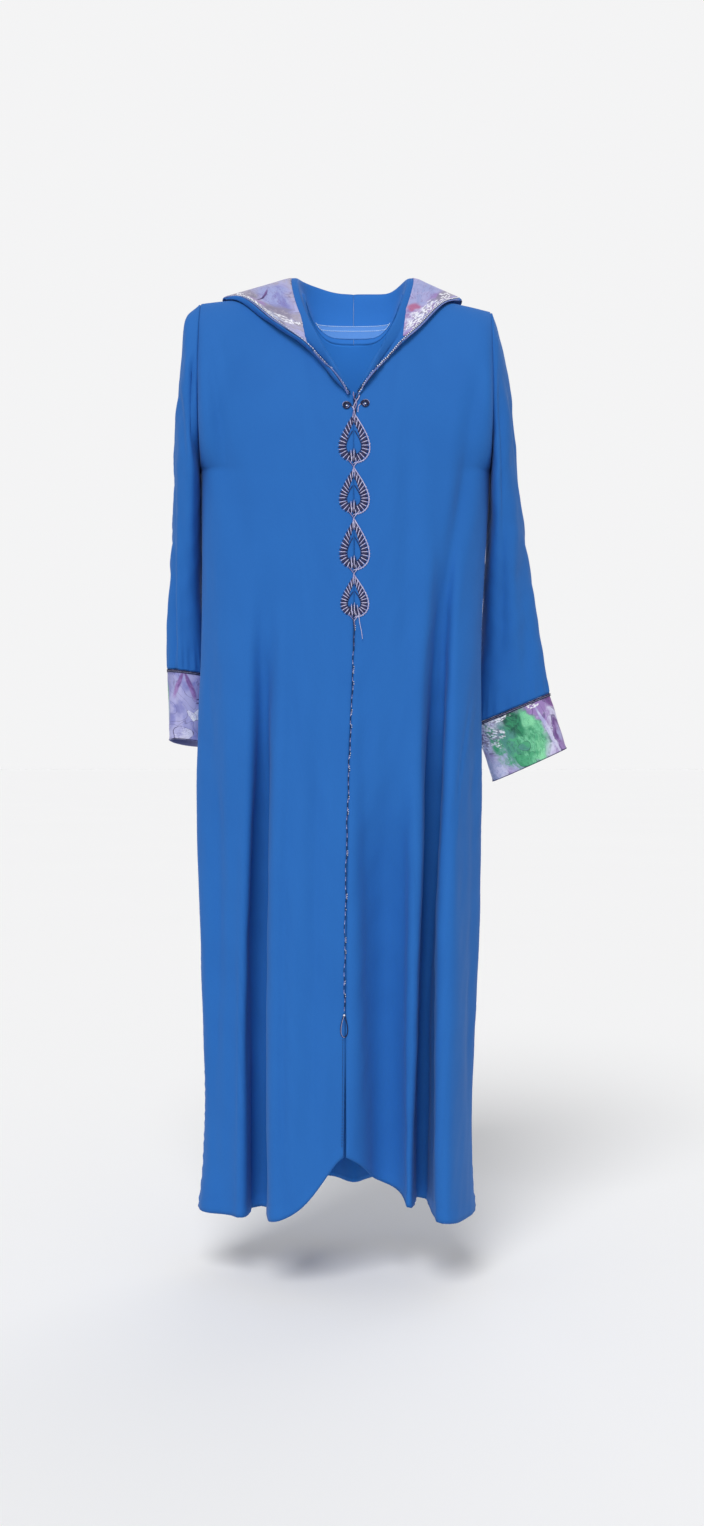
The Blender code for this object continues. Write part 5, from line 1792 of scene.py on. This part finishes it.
    def build_tape(self, shown: dict) -> None:
        """Sheer tape inside the back of the neck, with its two rows of white stitches."""
        reach = int(self.columns * 0.40 / self.last_share)
        rows = slice(3, 16)
        right = shown[Side.RIGHT].moved(0.0006).points[rows, :reach][:, ::-1]
        left = shown[Side.LEFT].moved(0.0006).points[rows, 1:reach]
        grid = np.concatenate([right, left], axis=1)
        low, high = self.tape_z
        heights = [mix(low, high, k / (self.tape_rows - 1.0)) for k in range(self.tape_rows)]
        tape = np.array([[read_at(c, c[:, 2], z) for c in grid.swapaxes(0, 1)] for z in heights])
        cloth = Cloth(tape[::-1], outward=1)
        facing = float(np.sign(np.mean(cloth.normals()[:, grid.shape[1] // 2, 1])))
        cloth.outward = -1 if facing > 0 else 1
        obj = cloth.build("neck_tape_cloth", (self.finishes.tape,), 0.0005)
        settle_piece(obj, ("neck_tape",))
        stitches = ThreadWork("neck_tape_stitches", (self.finishes.white,))
        for row in (0, 4):
            out = cloth.normals()[row, cloth.points.shape[1] // 2]
            centre, way, up = spaced(cloth.points[row], out, 0.002, 0.0033, spare=0.001)
            stitches.add(centre + up * 0.0003, way, up, (0.0030, 0.0013, 0.0010))
        thread = stitches.build()
        settle_piece(thread, ())


# --- loose thread ends


@dataclass(frozen=True)
class Tail:
    """One loose thread end below the last leaf, by its points (x, z)."""

    node: str
    slot: str
    route: tuple


@dataclass
class Tails:
    """The two thread ends that hang loose below the last leaf."""

    finishes: Finishes
    front: BVHTree
    tails: tuple = (
        Tail("tail_navy", "navy_braid", (
            (0.0112, -0.476), (0.0108, -0.49), (0.0122, -0.504), (0.011, -0.519), (0.012, -0.5325))),
        Tail("tail_light", "silver_thread", (
            (0.0165, -0.469), (0.0186, -0.481), (0.0198, -0.493), (0.0224, -0.506), (0.024, -0.5175))),
    )
    diameter: float = 0.0010
    lift: float = 0.0026
    steps: int = 24

    def build(self) -> None:
        """Make both ends as free cords."""
        for tail in self.tails:
            points = []
            for x, z in tail.route:
                hit = self.front.ray_cast(Vector((x, -1.0, z)), Vector((0.0, 1.0, 0.0)))[0]
                points.append((x, hit.y - self.lift, z))
            route = catmull(np.array(points), np.linspace(0.0, len(points) - 1.0, self.steps))
            curve = bpy.data.curves.new(tail.node, "CURVE")
            curve.dimensions = "3D"
            curve.bevel_depth = self.diameter / 2.0
            curve.bevel_resolution = 3
            curve.use_fill_caps = True
            spline = curve.splines.new("POLY")
            spline.points.add(self.steps - 1)
            for point, place in zip(spline.points, route):
                point.co = (*place, 1.0)
            curve.materials.append(self.finishes.navy if tail.node == "tail_navy" else self.finishes.silver)
            obj = bpy.data.objects.new(f"{tail.node}_thread", curve)
            bpy.context.scene.collection.objects.link(obj)
            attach(obj, BODY)
            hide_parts(tail.node)


# --- embroidery


@dataclass(frozen=True)
class Leaf:
    """One worked leaf down the front: top is its tip."""

    node: str
    top: float
    height: float
    width: float
    band: float


@dataclass
class Embroidery:
    """Leaves, curls, seam braid and loop worked down the centre front."""

    form: RobeForm
    finishes: Finishes
    front: BVHTree
    leaves: tuple = (
        Leaf("leaf_1", -0.1900, 0.0740, 0.046, 0.0120),
        Leaf("leaf_2", -0.2700, 0.0680, 0.044, 0.0120),
        Leaf("leaf_3", -0.3440, 0.0740, 0.044, 0.0120),
        Leaf("leaf_4", -0.4250, 0.0610, 0.041, 0.0110),
    )
    point: float = 1.3
    ribs: int = 26
    braid_pitch: float = 0.0031
    curls: dict = by_side((-0.0100, -0.1800), (0.0165, -0.1770))
    bundle: tuple = (-0.1620, -0.2020)
    braid_top: float = -0.4900
    braid_foot: float = -1.0500
    loop: tuple = (-1.0530, 0.0330, 0.010)
    slit_foot: float = -1.245

    def materials(self) -> tuple:
        """Threads in the order that the stitches name them: silver, mauve, dusk (also the painted shade
        between leaf ribs), navy, bead.
        """
        f = self.finishes
        return (f.silver, f.mauve, f.dusk, f.navy, f.bead)

    def laid(self, flat: object, lift: float = 0.0) -> Array:
        """Points (x, z) laid on the front's cloth, in three dimensions."""
        made = []
        for x, z in np.atleast_2d(flat):
            depths = []
            for shift in (-0.0009, 0.0009):
                hit = self.front.ray_cast(Vector((x + shift, -1.0, z)), Vector((0.0, 1.0, 0.0)))[0]
                if hit is not None:
                    depths.append(hit.y)
            made.append((x, min(depths) - lift if depths else -0.1, z))
        return np.array(made)

    def outline(self, leaf: Leaf, turn: Array, inner: bool = False) -> Array:
        """Outline of a leaf as (x, z): pointed at the top and round at the foot."""
        fine = np.linspace(0.0, pi, 60)
        peak = (np.sin(fine) * np.sin(fine / 2.0) ** self.point).max()
        top, height, width = leaf.top, leaf.height, leaf.width
        if inner:
            top -= 2.0 * leaf.band
            height -= 3.0 * leaf.band
            width -= 2.0 * leaf.band
        across = np.sin(turn) * np.abs(np.sin(turn / 2.0)) ** self.point / peak
        return np.stack([self.form.seam_x(leaf.top) + across * width / 2.0,
                         top - height * (1.0 - np.cos(turn)) / 2.0], axis=-1)

    def work_leaf(self, leaf: Leaf, seed: int) -> Object:
        """One leaf: fanned satin ribs, wide low dark stitches between them as painted shade, roped edges and
        a closed foot.
        """
        rng = np.random.default_rng(seed)
        work = ThreadWork(f"{leaf.node}_stitches", self.materials())
        out = AHEAD
        fine = np.linspace(0.0, 2.0 * pi, 400)
        edge = self.outline(leaf, fine)
        run = run_along(edge)
        # The dark mauve stitches between the silver ribs are painted shade in the gaps between them; the
        # silver ribs are the real satin stitches.
        for shift, finish, width, high in ((0.5, 2, 0.0040, 0.0008), (0.0, 0, 0.0017, 0.0019)):
            at = (np.arange(self.ribs) + 0.5 + shift) / self.ribs * run[-1]
            turn = np.interp(at, run, fine)
            keep = (turn > 0.30) & (turn < 2.0 * pi - 0.30)
            outer = self.outline(leaf, turn[keep])
            inner = self.outline(leaf, turn[keep], inner=True)
            span = np.linalg.norm(inner - outer, axis=1, keepdims=True)
            inner = outer + (inner - outer) * np.minimum(1.0, leaf.band * 1.08 / span)
            inner += rng.normal(0.0, 0.0003, inner.shape)
            a, b = self.laid(outer), self.laid(inner)
            work.add((a + b) / 2.0 + out * high * 0.45, b - a, out, (0.0, width, high), finish)
        work.rope(self.laid(edge[8:200]), out, 0.0017, 0)
        loops = self.outline(leaf, np.linspace(0.35, pi, 24))
        hub = loops.mean(axis=0)
        beads = self.laid(loops + unit(loops - hub) * 0.0012)
        work.add(beads + out * 0.0005, out[[0, 2, 1]], out, (0.0013, 0.0013, 0.0010), 0)
        inner_edge = self.outline(leaf, np.linspace(0.6, 2.0 * pi - 0.6, 120), inner=True)
        work.rope(self.laid(inner_edge), out, 0.0010, 2, lift=0.9)
        centre = self.form.seam_x(leaf.top)
        foot = leaf.top - leaf.height
        for offset, finish in ((-0.0062, 3), (-0.0040, 0), (-0.0018, 2), (0.0004, 0), (0.0026, 3)):
            low = self.laid([[centre + offset * 0.8, foot + 0.003]])
            high = self.laid([[centre + offset, foot + 0.0215 - abs(offset) * 0.6]])
            work.add((low + high) / 2.0 + out * 0.0012, high - low, out, (0.0, 0.0018, 0.0014), finish)
        for sign in (-1.0, 1.0):
            t = np.linspace(0.0, 1.0, 24)
            x = centre + sign * (0.0075 * (1.0 - t) - 0.0050 * t) * np.abs(np.cos(t * pi / 1.9))
            z = foot + 0.004 - 0.017 * t
            work.rope(self.laid(joined(x, z)), out, 0.0013, 0 if sign > 0 else 1, lift=0.9)
        obj = work.build()
        settle_piece(obj, (leaf.node,))
        return obj

    def work_curl(self, side: Side) -> None:
        """Small coiled cord beside the V, tied to it."""
        shift, z = self.curls[side]
        x = float(self.form.seam_x(z)) + shift
        work = ThreadWork(f"curl_{side.label}_stitches", self.materials())
        out = AHEAD
        turn = np.linspace(0.0, 2.0 * pi * 1.75, 90)
        radius = np.linspace(0.0062, 0.0026, 90)
        spiral = joined(x - side * radius * np.cos(turn), z + radius * np.sin(turn) * 0.9)
        work.rope(self.laid(spiral), out, 0.0019, 3, lift=0.6)
        work.rope(self.laid(spiral[:62] + np.array([side * 0.0008, 0.0012])), out, 0.0007, 0, lift=1.3)
        tie = ((0.0060, 0.0), (0.0095, 0.004), (0.0105, 0.012))
        tie = np.array([[x - side * across, z - down] for across, down in tie])
        path = catmull(tie, np.linspace(0.0, 2.0, 20))
        work.rope(self.laid(path), out, 0.0013, 0, lift=0.6)
        knot = self.laid([[x, z]]) + out * 0.0012
        work.add(knot, out[[1, 2, 0]], out, (0.0026, 0.0026, 0.0020), 4)
        settle_piece(work.build(), (f"curl_{side.label}",))

    def work_bundle(self) -> None:
        """Twisted strands from the V's point down into the first leaf."""
        work = ThreadWork("point_strands", self.materials())
        out = AHEAD
        t = np.linspace(0.0, 1.0, 40)
        z = mix(self.bundle[0], self.bundle[1], t)
        for phase, finish, width in ((0.0, 0, 0.0017), (2.1, 2, 0.0016), (4.2, 1, 0.0017), (1.0, 3, 0.0013)):
            x = mix(0.0150, self.form.seam_x(z), t) + 0.0021 * np.sin(t * 9.0 + phase) * (1.0 - 0.3 * t)
            x += 0.0040 * np.cos(phase) * (1.0 - smooth(t * 3.0))
            work.rope(self.laid(joined(x, z), 0.0006), out, width, finish, lift=0.8)
        settle_piece(work.build(), ())

    def work_braid(self) -> None:
        """Fine uneven line of silver and navy stitches over the centre seam."""
        work = ThreadWork("front_braid_stitches", self.materials())
        out = AHEAD
        z = np.arange(self.braid_top, self.braid_foot, -self.braid_pitch)
        wander = 0.0006 * np.sin(z * 83.0) + 0.0004 * np.sin(z * 211.0)
        x = self.form.seam_x(z) + wander
        path = self.laid(joined(x, z))
        way = np.gradient(path, axis=0)
        for start, step, finish in ((0, 4, 0), (1, 4, 3), (2, 4, 3), (3, 4, 1)):
            width = 0.0014 if finish == 3 else 0.0010
            work.add(path[start::step] + out * 0.0006, way[start::step], out, (0.0034, width, 0.0010), finish)
        side = path + np.array([0.0013, 0.0, 0.0012])
        glints = np.nonzero(np.sin(z * 310.0) + np.sin(z * 97.0) > 0.9)[0]
        work.add(side[glints] + out * 0.0008, way[glints], out, (0.0016, 0.0013, 0.0012), 4)
        settle_piece(work.build(), ("front_braid",))

    def work_loop(self) -> None:
        """Small roped loop with a bead, at the top of the slit."""
        top, height, width = self.loop
        leaf = Leaf("slit_knot", top, height, width, 0.0030)
        work = ThreadWork("slit_knot_stitches", self.materials())
        out = AHEAD
        edge = self.outline(leaf, np.linspace(0.1, 2.0 * pi - 0.1, 120))
        work.rope(self.laid(edge), out, 0.0015, 3)
        work.rope(self.laid(edge[60:] + [0.0006, -0.0004]), out, 0.0008, 0, lift=1.3)
        bead = self.laid([[self.form.seam_x(top), top - 0.002]])
        work.add(bead + out * 0.0014, out[[1, 2, 0]], out, (0.0034, 0.0034, 0.0030), 4)
        z = np.arange(top - height, self.slit_foot, -0.0042)
        path = self.laid(joined(self.form.seam_x(z) - 0.0016, z))
        work.add(path + out * 0.0004, np.gradient(path, axis=0), out, (0.0026, 0.0009, 0.0008), 3)
        settle_piece(work.build(), ("slit_knot",))

    def build(self) -> None:
        """Work every motif."""
        for seed, leaf in enumerate(self.leaves):
            self.work_leaf(leaf, 100 + seed)
        for side in Side:
            self.work_curl(side)
        self.work_bundle()
        self.work_braid()
        self.work_loop()


# --- studio


@dataclass
class Studio:
    """Pale floor, soft light and the camera."""

    floor_z: float = -1.456
    floor_size: float = 400.0
    eye: tuple = (0.009, -2.5, -0.695)
    lens: float = 39.32
    paper: tuple = (0.905, 0.905, 0.910, 1.0)
    ambient: float = 0.46
    key_way: tuple = (0.14, 0.68, -0.72)
    key_power: float = 2.00
    rim_way: tuple = (-0.30, -0.80, -0.60)
    rim_power: float = 0.45
    neck_at: tuple = (0.012, -0.035, -0.055)
    neck_size: tuple = (0.100, 0.150)
    neck_power: float = 0.095

    def sun(self, name: str, way: tuple, power: float, spread: float) -> None:
        """One broad, soft light from far away."""
        data = bpy.data.lights.new(name, "SUN")
        data.energy = power
        data.angle = spread
        obj = bpy.data.objects.new(name, data)
        obj.rotation_euler = Vector(way).to_track_quat("-Z", "Y").to_euler()
        bpy.context.scene.collection.objects.link(obj)

    def neck_fill(self) -> None:
        """Small soft light on the inside of the back neck."""
        data = bpy.data.lights.new("neck fill", "AREA")
        data.shape = "RECTANGLE"
        data.size, data.size_y = self.neck_size
        data.energy = self.neck_power
        obj = bpy.data.objects.new("neck fill", data)
        obj.location = self.neck_at
        obj.rotation_euler = (pi / 2.0, 0.0, 0.0)
        obj.visible_camera = False
        bpy.context.scene.collection.objects.link(obj)

    def surround(self) -> None:
        """Plain surround: near white to look at, and a softer light than it looks."""
        world = bpy.data.worlds.new("studio")
        world.use_nodes = True
        tree = world.node_tree
        n = Nodes(tree)
        seen = tree.nodes["Background"]
        n.fill(seen, {"Color": self.paper, "Strength": 1.0})
        glow = n.add("Background", {"Color": (1.0, 1.0, 1.0, 1.0), "Strength": self.ambient})
        either = n.add("MixShader", {0: n.add("LightPath").outputs["Is Camera Ray"]})
        tree.links.new(glow.outputs[0], either.inputs[1])
        tree.links.new(seen.outputs[0], either.inputs[2])
        tree.links.new(either.outputs[0], tree.nodes["World Output"].inputs["Surface"])
        bpy.context.scene.world = world

    def floor(self) -> None:
        """Wide pale floor under the hem."""
        bpy.ops.mesh.primitive_grid_add(x_subdivisions=8, y_subdivisions=8, size=self.floor_size,
                                        location=(0.0, 0.0, self.floor_z))
        floor = bpy.context.object
        floor.name = "floor"
        material, n, shader = new_material("pale floor")
        mottle = n.noise(n.add("TexCoord").outputs["Object"], 0.4, 2.0)
        n.fill(shader, {
            "Base Color": n.blend(mottle, (0.890, 0.890, 0.895, 1.0), self.paper),
            "Roughness": 1.0, "Specular IOR Level": 0.0,
        })
        floor.data.materials.append(material)

    def build(self) -> None:
        """Set the stage."""
        scene = bpy.context.scene
        scene.view_settings.view_transform = "Standard"
        self.surround()
        self.floor()
        self.sun("key", self.key_way, self.key_power, 0.50)
        self.sun("rim", self.rim_way, self.rim_power, 0.90)
        self.neck_fill()
        camera = bpy.data.objects.new("camera", bpy.data.cameras.new("camera"))
        camera.location = self.eye
        camera.rotation_euler = (pi / 2.0, 0.0, 0.0)
        camera.data.lens = self.lens
        camera.data.sensor_width = 36.0
        camera.data.clip_end = 1000.0
        scene.collection.objects.link(camera)
        scene.camera = camera


# --- the whole robe


def sleeves(form: RobeForm, finishes: Finishes) -> list:
    """The two sleeves with their own rings, cuffs and creases."""
    return [
        SleeveWithCuff(
            Side.RIGHT, form, finishes, flat=(0.40, 0.62),
            cuff_out=(0.0030, -0.105), cuff_in=(-0.0030, -0.103), cuff_deep=0.053,
            cuff_droop=0.009, tuck=0.0007, front_power=0.60,
        ),
        SleeveWithCuff(
            Side.LEFT, form, finishes, flat=(0.40, 0.66),
            cuff_out=(0.0260, -0.085), cuff_in=(0.0280, -0.088), cuff_deep=0.033,
        ),
    ]


def main() -> None:
    """Build the robe on its frame and set the stage."""
    logging.basicConfig(level=logging.INFO, format="%(name)s: %(message)s")
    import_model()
    Studio().build()
    form = RobeForm()
    finishes = Finishes()
    panels = BodyPanels(form, finishes)
    cloths = panels.grids()
    fronts = [cloths["front_right"], cloths["front_left"]]
    Tails(finishes, tree_of(fronts)).build()
    panels.build(cloths)
    for sleeve in sleeves(form, finishes):
        sleeve.build()
    Hood(form, finishes).build(tree_of([*fronts, cloths["back"]]))
    Embroidery(form, finishes, tree_of(fronts)).build()


if __name__ == "__main__":
    main()
